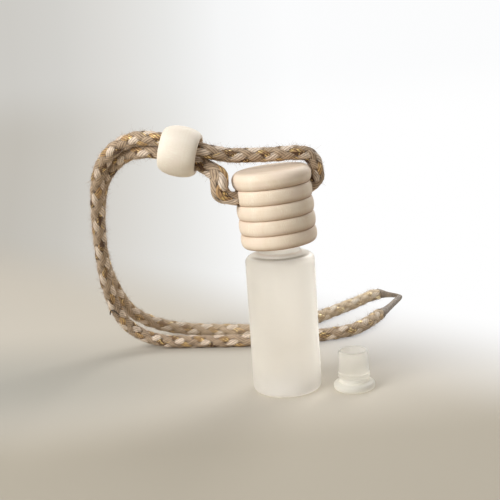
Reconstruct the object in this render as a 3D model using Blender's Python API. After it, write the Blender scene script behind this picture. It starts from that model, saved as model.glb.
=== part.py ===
"""Perfume vial of frosted glass with a ringed wooden cap, a looped cord, a bead and a stopper.

Metres, +Z up. The origin is the centre of the vial's flat base, which stands on the table.
The cap sits loose on the neck's screw thread and leans a little to the left. A cord runs
through the cap's second ring, both of its strands pass through a wooden bead, arc down to
the table, run behind the vial and end in a fused join on the right. The inner stopper stands
upside down on the table, in front of the vial and to its right.
"""

import math

import bmesh
import bpy
import numpy as np
from mathutils import Matrix, Vector

# Whole part
TOUCH_GAP = 0.0003
MERGE_DISTANCE = 0.000001
CUT_OVERRUN = 0.002
SHARP_ANGLE = math.radians(38)

# Glass vial
VIAL_RADIUS = 0.011
VIAL_WALL = 0.0015
VIAL_FLOOR = 0.0024
VIAL_BASE_ROUND = 0.00167
VIAL_INNER_ROUND = 0.0015
SHOULDER_HEIGHT = 0.0445
SHOULDER_ROUND = 0.0022
SHOULDER_THICKNESS = 0.0015
SHOULDER_SLOPE = math.radians(12)
NECK_RADIUS = 0.0066
NECK_BORE_RADIUS = 0.0049
NECK_HEIGHT = 0.0111
NECK_ROOT_ROUND = 0.0011
NECK_RIM_ROUND = 0.0005
VIAL_SEGMENTS = 40

# Screw thread, on the neck and inside the cap's insert
THREAD_PITCH = 0.003
THREAD_TURNS = 1.5
THREAD_SINK = 0.0003
THREAD_FADE = math.radians(45)
THREAD_STEPS_PER_TURN = 32
NECK_THREAD_RISE = 0.0041
NECK_THREAD_DEPTH = 0.00075
NECK_THREAD_ROOT_WIDTH = 0.0011
NECK_THREAD_CREST_WIDTH = 0.0005
INSERT_THREAD_ROOT_WIDTH = 0.001
INSERT_THREAD_CREST_WIDTH = 0.0004

# Thread insert, a plain sleeve glued into the cap
INSERT_LENGTH = 0.0116
INSERT_WALL = 0.001
INSERT_RECESS = 0.0008
INSERT_BORE_GAP = 0.00055
INSERT_CREST_GAP = 0.0004
INSERT_EDGE_ROUND = 0.0002
INSERT_SEGMENTS = 36

# Sealing liner, a loose disc above the neck's rim that rises with the cap
LINER_THICKNESS = 0.001
LINER_EDGE_ROUND = 0.0002

# Wooden cap: five rounded rings, the top one wider
CAP_LEAN = math.radians(4)
CAP_LEAN_RISE = 0.0085
CAP_SHOULDER_GAP = 0.00338
RING_COUNT = 5
LOWEST_RING_HEIGHT = 0.00453
RING_HEIGHT = 0.00474
TOP_RING_HEIGHT = 0.00525
LOWEST_RING_RADIUS = 0.01208
RING_WIDENING = 0.00005
TOP_RING_RADIUS = 0.0125
GROOVE_RADIUS = 0.0114
CAP_FOOT_RADIUS = 0.0109
CAP_TOP_RADIUS = 0.0099
RING_FULLNESS = 2.0
RING_STEPS = 8
CAP_SEGMENTS = 44

# Cord, and the hole that it takes through the cap
CORD_RADIUS = 0.0023
CORD_IN_CAP_HALF_LENGTH = 0.011
CORD_BORE_TURN = math.radians(15)
CORD_BORE_RING = 3
CORD_BORE_SEGMENTS = 28
CORD_SIDE_STEPS = 3
CORD_LONGEST_STEP = 0.0115
CORD_LARGEST_TURN = math.radians(15)
CORD_FINE_STEPS = 16

# Barrel bead on the two strands
BEAD_CENTRE = (-0.0288, 0.001, 0.0787)
BEAD_DIP = math.radians(14)
BEAD_YAW = math.radians(8)
BEAD_LENGTH = 0.0118
BEAD_RADIUS = 0.0079
BEAD_END_RADIUS = 0.0056
BEAD_HOLE_SPARE = 0.00055
BEAD_HOLE_ROUND = 0.0004
BEAD_FULLNESS = 2.0
BEAD_STEPS = 12
BEAD_SEGMENTS = 32

# Inner stopper, standing on its flange with its open end up
STOPPER_PLACE = (0.0212, -0.0048)
STOPPER_HEIGHT = 0.01265
STOPPER_FLANGE_RADIUS = 0.0066
STOPPER_FLANGE_THICKNESS = 0.0024
STOPPER_FLANGE_ROUND = 0.001
STOPPER_LOW_RADIUS = 0.0049
STOPPER_TOP_RADIUS = 0.00465
STOPPER_WALL = 0.00075
STOPPER_END_THICKNESS = 0.0012
STOPPER_RIM_ROUND = 0.0003
STOPPER_RIB_RISE = 0.0032
STOPPER_RIB_SPACING = 0.0011
STOPPER_RIB_COUNT = 3
STOPPER_RIB_DEPTH = 0.00022
STOPPER_RIB_WIDTH = 0.0007
STOPPER_SEGMENTS = 30

# Route of the front strand: out of the cap's right side, over the cap, through the bead,
# down the arc on the left and along the table behind the vial
FRONT_ROUTE = [
    (0.0101, 0.0029, 0.065),
    (0.0105, 0.003, 0.065),
    (0.0116, 0.0033, 0.0653),
    (0.0125, 0.0036, 0.066),
    (0.0132, 0.0038, 0.067),
    (0.0135, 0.0039, 0.0683),
    (0.0134, 0.0039, 0.0701),
    (0.0131, 0.0038, 0.0718),
    (0.0122, 0.0035, 0.0737),
    (0.0106, 0.003, 0.0751),
    (0.0078, 0.0021, 0.0757),
    (-0.0004, 0.0014, 0.0758),
    (-0.008, 0.001, 0.0761),
    (-0.014, 0.0003, 0.0766),
    (-0.0182, -0.0006, 0.0777),
    (-0.0215, -0.0011, 0.0787),
    (-0.0232, -0.0008, 0.0793),
    (-0.0334, 0.0006, 0.0824),
    (-0.0351, 0.0008, 0.0829),
    (-0.0396, 0.0025, 0.0834),
    (-0.0444, 0.0052, 0.0829),
    (-0.049, 0.0081, 0.0808),
    (-0.0531, 0.0112, 0.0774),
    (-0.0566, 0.0154, 0.0716),
    (-0.0589, 0.0212, 0.0622),
    (-0.0603, 0.028, 0.0511),
    (-0.0613, 0.0357, 0.0394),
    (-0.0615, 0.042, 0.0292),
    (-0.0608, 0.046, 0.0222),
    (-0.0591, 0.0492, 0.0152),
    (-0.0558, 0.0514, 0.0094),
    (-0.0502, 0.0523, 0.0052),
    (-0.0426, 0.052, 0.0029),
    (-0.0343, 0.0512, 0.0024),
    (-0.0115, 0.0476, 0.0024),
    (0.006, 0.0469, 0.0024),
    (0.0188, 0.0486, 0.0024),
    (0.0268, 0.0518, 0.0024),
    (0.033, 0.0588, 0.0024),
    (0.0396, 0.07, 0.0024),
]

# Route of the rear strand: out of the cap's left side, up through the bead, and down
# behind the front strand
REAR_ROUTE = [
    (-0.0117, -0.0029, 0.0635),
    (-0.0121, -0.003, 0.0634),
    (-0.01339, -0.0034, 0.06357),
    (-0.01478, -0.0038, 0.064),
    (-0.01621, -0.0041, 0.0648),
    (-0.0172, -0.0043, 0.06596),
    (-0.01744, -0.0043, 0.06725),
    (-0.01721, -0.0041, 0.06842),
    (-0.01707, -0.0036, 0.06958),
    (-0.01743, -0.0028, 0.07077),
    (-0.01857, -0.0017, 0.07192),
    (-0.02068, -0.0002, 0.07325),
    (-0.0246, 0.0014, 0.0751),
    (-0.0344, 0.0028, 0.0781),
    (-0.0361, 0.0031, 0.0787),
    (-0.0418, 0.0068, 0.0784),
    (-0.045, 0.0098, 0.0778),
    (-0.0484, 0.0132, 0.0763),
    (-0.052, 0.0172, 0.0739),
    (-0.0553, 0.0218, 0.0702),
    (-0.0577, 0.0256, 0.0659),
    (-0.0593, 0.029, 0.061),
    (-0.0604, 0.0323, 0.0562),
    (-0.0612, 0.0352, 0.0516),
    (-0.0618, 0.0452, 0.0339),
    (-0.0606, 0.0493, 0.0273),
    (-0.0582, 0.0534, 0.0196),
    (-0.0551, 0.0572, 0.0137),
    (-0.0496, 0.0604, 0.009),
    (-0.0424, 0.0626, 0.0056),
    (-0.033, 0.0642, 0.0033),
    (-0.022, 0.0638, 0.0024),
    (-0.0114, 0.061, 0.0024),
    (0.0005, 0.0616, 0.0024),
    (0.009, 0.0666, 0.0024),
    (0.024, 0.081, 0.0024),
    (0.0328, 0.0906, 0.0024),
    (0.0382, 0.0974, 0.0024),
    (0.041, 0.1004, 0.0024),
    (0.0436, 0.1016, 0.0024),
]

# Fused join: an arm carries on from each strand, and the two meet at the tip
FRONT_ARM_ROUTE = [
    (0.0407, 0.0719, 0.0023),
    (0.0436, 0.0771, 0.0023),
    (0.048, 0.0856, 0.0026),
    (0.0516, 0.0925, 0.0031),
]
REAR_ARM_ROUTE = [
    (0.0455, 0.1013, 0.0024),
    (0.0475, 0.0998, 0.0024),
    (0.0498, 0.0972, 0.0026),
    (0.0511, 0.0937, 0.003),
]
FRONT_ARM_RADIUS_SHARES = [1.0, 0.66, 0.56, 0.54, 0.48]
REAR_ARM_RADIUS_SHARES = [1.0, 0.6, 0.45, 0.4, 0.38]
ARM_SIDES = 12
ARM_FINE_STEPS = 3
ARM_END_STEPS = 3


def neck_rim_height():
    """Height of the neck's rim above the base."""
    return SHOULDER_HEIGHT + NECK_HEIGHT


def lean_point_height():
    """Height on the vial's axis where the cap's leaning axis crosses it."""
    return SHOULDER_HEIGHT + CAP_LEAN_RISE


def cap_foot_height():
    """Height of the cap's foot along its own axis, from the point where the two axes cross."""
    return CAP_SHOULDER_GAP - CAP_LEAN_RISE


def ring_levels():
    """Heights above the cap's foot where its rings begin and end."""
    middle_rings = RING_COUNT - 2
    levels = [0.0]
    for index in range(middle_rings + 1):
        levels.append(LOWEST_RING_HEIGHT + index * RING_HEIGHT)
    levels.append(levels[-1] + TOP_RING_HEIGHT)
    return levels


def ring_radius(index):
    """Greatest radius of a ring, counted from the lowest."""
    if index == RING_COUNT - 1:
        return TOP_RING_RADIUS
    return LOWEST_RING_RADIUS + index * RING_WIDENING


def cord_bore_height():
    """Height of the cord's hole above the cap's foot, in the middle of its ring."""
    levels = ring_levels()
    return (levels[CORD_BORE_RING] + levels[CORD_BORE_RING + 1]) / 2


def insert_bore_radius():
    """The insert's bore, clear of the crest of the neck's thread."""
    return NECK_RADIUS + NECK_THREAD_DEPTH + INSERT_BORE_GAP


def insert_outer_radius():
    """The insert's outer radius."""
    return insert_bore_radius() + INSERT_WALL


def socket_depth():
    """Depth of the cap's socket, from its foot to the ceiling over the insert."""
    return INSERT_RECESS + INSERT_LENGTH + TOUCH_GAP


def bead_direction():
    """The way that the cord runs through the bead, from the cap towards the arc."""
    level = -math.cos(BEAD_DIP)
    return Vector((level * math.cos(BEAD_YAW), -level * math.sin(BEAD_YAW), math.sin(BEAD_DIP)))


def bead_hole_radius():
    """The bead's hole, round two strands side by side."""
    return 2 * CORD_RADIUS + BEAD_HOLE_SPARE


def arc(centre_radius, centre_height, radius, first_degrees, last_degrees, steps):
    """Points (radius, height) along an arc of an outline."""
    points = []
    for index in range(steps + 1):
        angle = math.radians(first_degrees + (last_degrees - first_degrees) * index / steps)
        points.append((centre_radius + radius * math.cos(angle), centre_height + radius * math.sin(angle)))
    return points


def clear_scene():
    """Removes every object that is in the scene."""
    for item in list(bpy.data.objects):
        bpy.data.objects.remove(item, do_unlink=True)


def surface(name, colour, roughness, metallic=0.0, transmission=0.0):
    """A plain material."""
    material = bpy.data.materials.new(name)
    material.use_nodes = True
    shader = material.node_tree.nodes["Principled BSDF"]
    shader.inputs["Base Color"].default_value = (*colour, 1.0)
    shader.inputs["Roughness"].default_value = roughness
    shader.inputs["Metallic"].default_value = metallic
    shader.inputs["Transmission Weight"].default_value = transmission
    return material


def added(name, data, material):
    """A new object in the scene that shows the data in the material."""
    data.materials.append(material)
    item = bpy.data.objects.new(name, data)
    bpy.context.scene.collection.objects.link(item)
    return item


def solid(name, shape, material):
    """An object from a closed bmesh, with its faces turned outward and its round faces smooth."""
    bmesh.ops.remove_doubles(shape, verts=shape.verts, dist=MERGE_DISTANCE)
    bmesh.ops.recalc_face_normals(shape, faces=shape.faces)
    mesh = bpy.data.meshes.new(name)
    shape.to_mesh(mesh)
    shape.free()
    mesh.shade_smooth()
    mesh.set_sharp_from_angle(angle=SHARP_ANGLE)
    return added(name, mesh, material)


def turned(name, outline, segments, material, closed=False):
    """A round piece about Z. The outline is a loop, or it starts and ends on the axis."""
    shape = bmesh.new()
    points = [shape.verts.new((radius, 0.0, height)) for radius, height in outline]
    following = points[1:] + points[:1] if closed else points[1:]
    edges = [shape.edges.new(pair) for pair in zip(points, following)]
    bmesh.ops.spin(
        shape,
        geom=points + edges,
        cent=(0.0, 0.0, 0.0),
        axis=(0.0, 0.0, 1.0),
        angle=2 * math.pi,
        steps=segments,
        use_merge=True,
    )
    return solid(name, shape, material)


def skinned(name, sections, material, end_point=None):
    """A closed skin through equal sections, with a flat face at its start and a flat or pointed end."""
    shape = bmesh.new()
    rings = [[shape.verts.new(place) for place in section] for section in sections]
    count = len(rings[0])
    for near, far in zip(rings, rings[1:]):
        for index in range(count):
            after = (index + 1) % count
            shape.faces.new((near[index], near[after], far[after], far[index]))
    shape.faces.new(rings[0])
    if end_point is None:
        shape.faces.new(rings[-1])
    else:
        point = shape.verts.new(end_point)
        for index in range(count):
            shape.faces.new((rings[-1][index], rings[-1][(index + 1) % count], point))
    return solid(name, shape, material)


def hidden(item):
    """Marks an object as a shape that only cuts or joins another."""
    item.hide_render = True
    item.display_type = "WIRE"


def combine(target, operand, operation):
    """Cuts the operand out of the target, or joins it on."""
    modifier = target.modifiers.new(operand.name, "BOOLEAN")
    modifier.operation = operation
    modifier.solver = "EXACT"
    modifier.object = operand
    hidden(operand)


def carried(item, carrier):
    """Parents an object to an empty without moving it."""
    item.parent = carrier
    item.matrix_parent_inverse = carrier.matrix_basis.inverted()


def axis_empty(name, placing):
    """An empty on a joint's axis."""
    empty = bpy.data.objects.new(name, None)
    empty.matrix_basis = placing
    bpy.context.scene.collection.objects.link(empty)
    return empty


def thread_ridge(name, wall_radius, crest_radius, first_height, root_width, crest_width, material):
    """A helical ridge of a right-hand thread, which fades into its wall at both ends."""
    outward = math.copysign(1.0, crest_radius - wall_radius)
    root_radius = wall_radius - outward * THREAD_SINK
    faded_radius = wall_radius - outward * THREAD_SINK / 2
    whole_angle = 2 * math.pi * THREAD_TURNS
    count = round(THREAD_STEPS_PER_TURN * THREAD_TURNS)
    sections = []
    for index in range(count + 1):
        angle = whole_angle * index / count
        height = first_height + THREAD_PITCH * angle / (2 * math.pi)
        fade = min(1.0, angle / THREAD_FADE, (whole_angle - angle) / THREAD_FADE)
        crest = faded_radius + (crest_radius - faded_radius) * math.sin(fade * math.pi / 2)
        outline = [
            (root_radius, height - root_width / 2),
            (crest, height - crest_width / 2),
            (crest, height + crest_width / 2),
            (root_radius, height + root_width / 2),
        ]
        turn = Matrix.Rotation(angle, 3, "Z")
        sections.append([turn @ Vector((radius, 0.0, level)) for radius, level in outline])
    return skinned(name, sections, material)


def vial_outline():
    """The vial from the middle of its base, up its outside and down its inside."""
    side = VIAL_RADIUS - SHOULDER_ROUND
    slope_degrees = math.degrees(SHOULDER_SLOPE)
    rim = neck_rim_height()
    inner_radius = VIAL_RADIUS - VIAL_WALL
    inner_top = SHOULDER_HEIGHT - SHOULDER_THICKNESS
    points = [(0.0, 0.0)]
    points += arc(VIAL_RADIUS - VIAL_BASE_ROUND, VIAL_BASE_ROUND, VIAL_BASE_ROUND, -90, 0, 4)
    shoulder = arc(side, SHOULDER_HEIGHT - SHOULDER_ROUND, SHOULDER_ROUND, 0, 90 - slope_degrees, 5)
    points += shoulder
    root_reach = NECK_RADIUS + NECK_ROOT_ROUND * (1 - math.sin(SHOULDER_SLOPE))
    slope_rise = (shoulder[-1][0] - root_reach) * math.tan(SHOULDER_SLOPE)
    root_height = shoulder[-1][1] + slope_rise + NECK_ROOT_ROUND * math.cos(SHOULDER_SLOPE)
    points += arc(NECK_RADIUS + NECK_ROOT_ROUND, root_height, NECK_ROOT_ROUND, 270 - slope_degrees, 180, 4)
    points += arc(NECK_RADIUS - NECK_RIM_ROUND, rim - NECK_RIM_ROUND, NECK_RIM_ROUND, 0, 90, 2)
    points += arc(NECK_BORE_RADIUS + NECK_RIM_ROUND, rim - NECK_RIM_ROUND, NECK_RIM_ROUND, 90, 180, 2)
    points += arc(NECK_BORE_RADIUS + NECK_RIM_ROUND, inner_top + NECK_RIM_ROUND, NECK_RIM_ROUND, 180, 270, 2)
    points += arc(inner_radius - VIAL_INNER_ROUND, inner_top - VIAL_INNER_ROUND, VIAL_INNER_ROUND, 90, 0, 3)
    points += arc(inner_radius - VIAL_INNER_ROUND, VIAL_FLOOR + VIAL_INNER_ROUND, VIAL_INNER_ROUND, 0, -90, 3)
    points.append((0.0, VIAL_FLOOR))
    return points


def make_vial(material):
    """The glass vial, with the thread's ridge joined to its neck."""
    vial = turned("vial", vial_outline(), VIAL_SEGMENTS, material)
    ridge = thread_ridge(
        "neck_ridge",
        NECK_RADIUS,
        NECK_RADIUS + NECK_THREAD_DEPTH,
        SHOULDER_HEIGHT + NECK_THREAD_RISE,
        NECK_THREAD_ROOT_WIDTH,
        NECK_THREAD_CREST_WIDTH,
        material,
    )
    combine(vial, ridge, "UNION")


def cap_outline():
    """The cap from the middle of its top, down over its rings and up into its socket."""
    levels = ring_levels()
    socket_radius = insert_outer_radius() + TOUCH_GAP
    points = [(0.0, levels[-1])]
    for index in reversed(range(RING_COUNT)):
        low, high = levels[index], levels[index + 1]
        upper_edge = CAP_TOP_RADIUS if index == RING_COUNT - 1 else GROOVE_RADIUS
        lower_edge = CAP_FOOT_RADIUS if index == 0 else GROOVE_RADIUS
        for step in range(RING_STEPS + 1):
            share = math.cos(math.pi * step / RING_STEPS)
            edge = upper_edge if share > 0 else lower_edge
            swell = math.sqrt(max(0.0, 1 - abs(share) ** RING_FULLNESS))
            if step > 0 or index == RING_COUNT - 1:
                radius = edge + (ring_radius(index) - edge) * swell
                points.append((radius, (low + high) / 2 + share * (high - low) / 2))
    points.append((socket_radius, 0.0))
    points.append((socket_radius, socket_depth()))
    points.append((0.0, socket_depth()))
    return points


def make_cap(material, carrier):
    """The wooden cap, with the cord's hole drilled across it."""
    cap = turned("wooden_cap", cap_outline(), CAP_SEGMENTS, material)
    drill_radius = CORD_RADIUS + TOUCH_GAP
    reach = max(ring_radius(index) for index in range(RING_COUNT)) + CUT_OVERRUN
    drill = turned(
        "cord_hole_drill",
        [(0.0, -reach), (drill_radius, -reach), (drill_radius, reach), (0.0, reach)],
        CORD_BORE_SEGMENTS,
        material,
    )
    combine(cap, drill, "DIFFERENCE")
    foot = Matrix.Translation((0.0, 0.0, cap_foot_height()))
    level = Matrix.Translation((0.0, 0.0, cord_bore_height()))
    across = Matrix.Rotation(CORD_BORE_TURN, 4, "Z") @ Matrix.Rotation(math.pi / 2, 4, "Y")
    cap.parent = carrier
    cap.matrix_basis = foot
    drill.parent = carrier
    drill.matrix_basis = foot @ level @ across


def insert_outline():
    """The insert's wall, as a loop from its outer lower edge upward."""
    bore = insert_bore_radius()
    outer = insert_outer_radius()
    edge = INSERT_EDGE_ROUND
    points = arc(outer - edge, edge, edge, -90, 0, 2)
    points += arc(outer - edge, INSERT_LENGTH - edge, edge, 0, 90, 2)
    points += arc(bore + edge, INSERT_LENGTH - edge, edge, 90, 180, 2)
    points += arc(bore + edge, edge, edge, 180, 270, 2)
    return points


def make_insert(material, carrier):
    """The threaded sleeve in the cap. Its ridge runs half a pitch above the neck's."""
    insert = turned("thread_insert", insert_outline(), INSERT_SEGMENTS, material, closed=True)
    foot = cap_foot_height() + INSERT_RECESS
    ridge = thread_ridge(
        "insert_ridge",
        insert_bore_radius(),
        NECK_RADIUS + INSERT_CREST_GAP,
        NECK_THREAD_RISE + THREAD_PITCH / 2 - CAP_LEAN_RISE - foot,
        INSERT_THREAD_ROOT_WIDTH,
        INSERT_THREAD_CREST_WIDTH,
        material,
    )
    combine(insert, ridge, "UNION")
    for item in (insert, ridge):
        item.parent = carrier
        item.matrix_basis = Matrix.Translation((0.0, 0.0, foot))


def make_liner(material, carrier):
    """The sealing liner, which the neck's rim presses on once the cap is screwed right down."""
    radius = insert_bore_radius() - TOUCH_GAP
    edge = LINER_EDGE_ROUND
    outline = [(0.0, 0.0)]
    outline += arc(radius - edge, edge, edge, -90, 0, 2)
    outline += arc(radius - edge, LINER_THICKNESS - edge, edge, 0, 90, 2)
    outline.append((0.0, LINER_THICKNESS))
    liner = turned("cap_liner", outline, INSERT_SEGMENTS, material)
    ceiling = cap_foot_height() + socket_depth()
    liner.parent = carrier
    liner.matrix_basis = Matrix.Translation((0.0, 0.0, ceiling - TOUCH_GAP - LINER_THICKNESS))


def bead_outline():
    """The bead's wall as a loop about its hole: a barrel with flat ends."""
    half = BEAD_LENGTH / 2
    hole = bead_hole_radius()
    edge = BEAD_HOLE_ROUND
    points = []
    for step in range(BEAD_STEPS + 1):
        share = -math.cos(math.pi * step / BEAD_STEPS)
        swell = math.sqrt(max(0.0, 1 - abs(share) ** BEAD_FULLNESS))
        points.append((BEAD_END_RADIUS + (BEAD_RADIUS - BEAD_END_RADIUS) * swell, half * share))
    points += arc(hole + edge, half - edge, edge, 90, 180, 2)
    points += arc(hole + edge, edge - half, edge, 180, 270, 2)
    return points


def make_bead(material, carrier):
    """The barrel bead, turned about the cord's direction."""
    bead = turned("bead", bead_outline(), BEAD_SEGMENTS, material, closed=True)
    turn = bead_direction().to_track_quat("Z", "Y").to_matrix().to_4x4()
    empty = axis_empty("bead_axis", Matrix.Translation(BEAD_CENTRE) @ turn)
    carried(empty, carrier)
    bead.parent = empty


def stopper_wall_radius(height):
    """Outer radius of the stopper's tapered tube."""
    span = STOPPER_HEIGHT - STOPPER_FLANGE_THICKNESS
    share = (height - STOPPER_FLANGE_THICKNESS) / span
    return STOPPER_LOW_RADIUS + (STOPPER_TOP_RADIUS - STOPPER_LOW_RADIUS) * share


def stopper_outline():
    """The stopper from the middle of its flat end, out round its flange and up to its open rim."""
    flange = STOPPER_FLANGE_RADIUS - STOPPER_FLANGE_ROUND
    points = [(0.0, 0.0)]
    points += arc(flange, STOPPER_FLANGE_ROUND, STOPPER_FLANGE_ROUND, -90, 0, 2)
    points += arc(flange, STOPPER_FLANGE_THICKNESS - STOPPER_FLANGE_ROUND, STOPPER_FLANGE_ROUND, 0, 90, 2)
    points.append((STOPPER_LOW_RADIUS, STOPPER_FLANGE_THICKNESS))
    for index in range(STOPPER_RIB_COUNT):
        middle = STOPPER_RIB_RISE + index * STOPPER_RIB_SPACING
        for side, depth in ((-1, 0.0), (0, STOPPER_RIB_DEPTH), (1, 0.0)):
            height = middle + side * STOPPER_RIB_WIDTH / 2
            points.append((stopper_wall_radius(height) + depth, height))
    rim = STOPPER_HEIGHT - STOPPER_RIM_ROUND
    points += arc(STOPPER_TOP_RADIUS - STOPPER_RIM_ROUND, rim, STOPPER_RIM_ROUND, 0, 90, 2)
    points.append((STOPPER_TOP_RADIUS - STOPPER_WALL, STOPPER_HEIGHT))
    points.append((STOPPER_LOW_RADIUS - STOPPER_WALL, STOPPER_END_THICKNESS))
    points.append((0.0, STOPPER_END_THICKNESS))
    return points


def make_stopper(material):
    """The inner stopper, with its origin on the line that it lifts along."""
    stopper = turned("stopper", stopper_outline(), STOPPER_SEGMENTS, material)
    stopper.location = (*STOPPER_PLACE, 0.0)


def smooth_path(points, steps):
    """A cubic path through the points, whose slope at each one leans to its nearer neighbour."""
    points = np.asarray(points, float)
    spans = np.linalg.norm(np.diff(points, axis=0), axis=1)[:, None]
    chords = np.diff(points, axis=0) / spans
    slopes = np.vstack([chords[:1], chords[-1:]])
    inner = (chords[1:] * spans[:-1] + chords[:-1] * spans[1:]) / (spans[:-1] + spans[1:])
    slopes = np.vstack([slopes[:1], inner, slopes[1:]])
    share = np.arange(steps)[:, None] / steps
    path = []
    for start, end, leaving, arriving, span in zip(points, points[1:], slopes, slopes[1:], spans):
        path.append(
            (2 * share**3 - 3 * share**2 + 1) * start
            + (share**3 - 2 * share**2 + share) * span * leaving
            + (3 * share**2 - 2 * share**3) * end
            + (share**3 - share**2) * span * arriving
        )
    return np.vstack(path + [points[-1:]])


def thinned(path):
    """The points of a fine path where it has turned or run far enough since the last one kept."""
    kept = [path[0]]
    heading = path[1] - path[0]
    travelled = 0.0
    for before, place, after in zip(path, path[1:], path[2:]):
        travelled += np.linalg.norm(place - before)
        ahead = after - place
        bend = Vector(heading).angle(Vector(ahead))
        if travelled > CORD_LONGEST_STEP or bend > CORD_LARGEST_TURN:
            kept.append(place)
            heading = ahead
            travelled = 0.0
    kept.append(path[-1])
    return kept


def cord_tube(name, points, material):
    """A stretch of cord as a round tube with flat ends."""
    data = bpy.data.curves.new(name, "CURVE")
    data.dimensions = "3D"
    data.bevel_depth = CORD_RADIUS
    data.bevel_resolution = CORD_SIDE_STEPS
    data.use_fill_caps = True
    spline = data.splines.new("POLY")
    spline.points.add(len(points) - 1)
    for point, place in zip(spline.points, points):
        point.co = (*place, 1.0)
    return added(name, data, material)


def make_cord(material, carrier):
    """The cord's stretch inside the cap and its two strands."""
    half = CORD_IN_CAP_HALF_LENGTH
    inside = cord_tube("cord_in_cap", [(-half, 0.0, 0.0), (0.0, 0.0, 0.0), (half, 0.0, 0.0)], material)
    inside.parent = carrier
    height = cap_foot_height() + cord_bore_height()
    inside.matrix_basis = Matrix.Translation((0.0, 0.0, height)) @ Matrix.Rotation(CORD_BORE_TURN, 4, "Z")
    for name, route in (("cord_front_strand", FRONT_ROUTE), ("cord_rear_strand", REAR_ROUTE)):
        strand = cord_tube(name, thinned(smooth_path(route, CORD_FINE_STEPS)), material)
        carried(strand, carrier)


def join_arm(name, strand_route, arm_route, radius_shares, material):
    """One arm of the join: a tapered bar that carries on from its strand and ends round."""
    strand_end = Vector(strand_route[-1])
    heading = (strand_end - Vector(strand_route[-2])).normalized()
    start = strand_end + heading * TOUCH_GAP
    settled = start + heading * TOUCH_GAP
    path = smooth_path([start, settled] + arm_route, ARM_FINE_STEPS)
    places = np.arange(len(path)) / ARM_FINE_STEPS - 1
    radii = np.interp(places, range(len(radius_shares)), radius_shares) * CORD_RADIUS
    headings = [Vector(after - before).normalized() for before, after in zip(path, path[1:])]
    headings.append(headings[-1])
    side = headings[0].cross(Vector((0.0, 0.0, 1.0))).normalized()
    rings = []
    for place, heading, radius in zip(path, headings, radii):
        side = (side - heading * side.dot(heading)).normalized()
        rings.append(ring_about(Vector(place), heading, side, radius))
    for step in range(1, ARM_END_STEPS):
        angle = math.pi / 2 * step / ARM_END_STEPS
        place = Vector(path[-1]) + heading * radii[-1] * math.sin(angle)
        rings.append(ring_about(place, heading, side, radii[-1] * math.cos(angle)))
    return skinned(name, rings, material, end_point=Vector(path[-1]) + heading * radii[-1])


def ring_about(place, heading, side, radius):
    """A ring of points about a path."""
    points = []
    for index in range(ARM_SIDES):
        turn = Matrix.Rotation(2 * math.pi * index / ARM_SIDES, 3, heading)
        points.append(place + turn @ side * radius)
    return points


def make_join(material, carrier):
    """The fused join at the cord's far end."""
    front = join_arm("cord_join", FRONT_ROUTE, FRONT_ARM_ROUTE, FRONT_ARM_RADIUS_SHARES, material)
    rear = join_arm("rear_arm", REAR_ROUTE, REAR_ARM_ROUTE, REAR_ARM_RADIUS_SHARES, material)
    combine(front, rear, "UNION")
    carried(front, carrier)
    carried(rear, carrier)


def make_part():
    """Builds every piece."""
    clear_scene()
    glass = surface("frosted_glass", (0.80, 0.77, 0.72), 0.55, transmission=0.3)
    cap_wood = surface("pale_wood", (0.82, 0.67, 0.48), 0.55)
    bead_wood = surface("bead_wood", (0.80, 0.70, 0.57), 0.5)
    insert_plastic = surface("white_plastic", (0.78, 0.77, 0.74), 0.4)
    liner_foam = surface("liner_foam", (0.84, 0.83, 0.80), 0.8)
    stopper_plastic = surface("milky_plastic", (0.80, 0.78, 0.73), 0.35, transmission=0.4)
    braid = surface("braided_cord", (0.40, 0.32, 0.23), 0.85)
    fused = surface("fused_cord", (0.30, 0.25, 0.20), 0.6)
    lean = Matrix.Rotation(-CAP_LEAN, 4, "Y")
    cap_axis = axis_empty("cap_axis", Matrix.Translation((0.0, 0.0, lean_point_height())) @ lean)
    make_vial(glass)
    make_cap(cap_wood, cap_axis)
    make_insert(insert_plastic, cap_axis)
    make_liner(liner_foam, cap_axis)
    make_cord(braid, cap_axis)
    make_join(fused, cap_axis)
    make_bead(bead_wood, cap_axis)
    make_stopper(stopper_plastic)


make_part()
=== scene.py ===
"""Looks of a perfume vial: frosted glass, a ringed wooden cap, a braided cord with a bead, a stopper.

Metres, +Z up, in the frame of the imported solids: the origin is the centre of the vial's flat
base. Every piece is a surface worked out with numpy and placed in its mesh, and each finish
follows the piece's own form: wood grain about the turned axis, yarn along the braid.
"""

import logging
import math
from dataclasses import dataclass, field
from enum import Enum
from typing import Callable, Optional, Sequence, Union

import bpy
import numpy as np
from mathutils import Matrix, Vector


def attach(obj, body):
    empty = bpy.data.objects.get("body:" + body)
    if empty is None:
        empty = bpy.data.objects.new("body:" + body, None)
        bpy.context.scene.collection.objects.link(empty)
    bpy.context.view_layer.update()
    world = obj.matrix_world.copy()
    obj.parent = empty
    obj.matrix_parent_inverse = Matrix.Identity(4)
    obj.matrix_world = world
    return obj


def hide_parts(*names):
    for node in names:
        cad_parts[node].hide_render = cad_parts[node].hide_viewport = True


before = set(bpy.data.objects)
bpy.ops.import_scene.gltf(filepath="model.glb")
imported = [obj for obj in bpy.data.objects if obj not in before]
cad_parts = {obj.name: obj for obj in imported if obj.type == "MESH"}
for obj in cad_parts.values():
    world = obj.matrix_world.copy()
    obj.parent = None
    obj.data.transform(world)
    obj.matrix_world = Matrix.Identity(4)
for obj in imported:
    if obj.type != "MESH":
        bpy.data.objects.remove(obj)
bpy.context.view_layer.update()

logging.basicConfig(level=logging.INFO, format="%(message)s")
LOG = logging.getLogger("vial")

Array = np.ndarray
Item = bpy.types.Object
Colour = tuple[float, float, float]
Place = tuple[float, float, float]
Span = tuple[float, float]
Value = Union[float, Sequence[float], "Term"]
Inputs = dict[Union[int, str], Value]
MILLIMETRE = 0.001
SHARP_DEGREES = 50.0
ORIGIN = (0.0, 0.0, 0.0)


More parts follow.
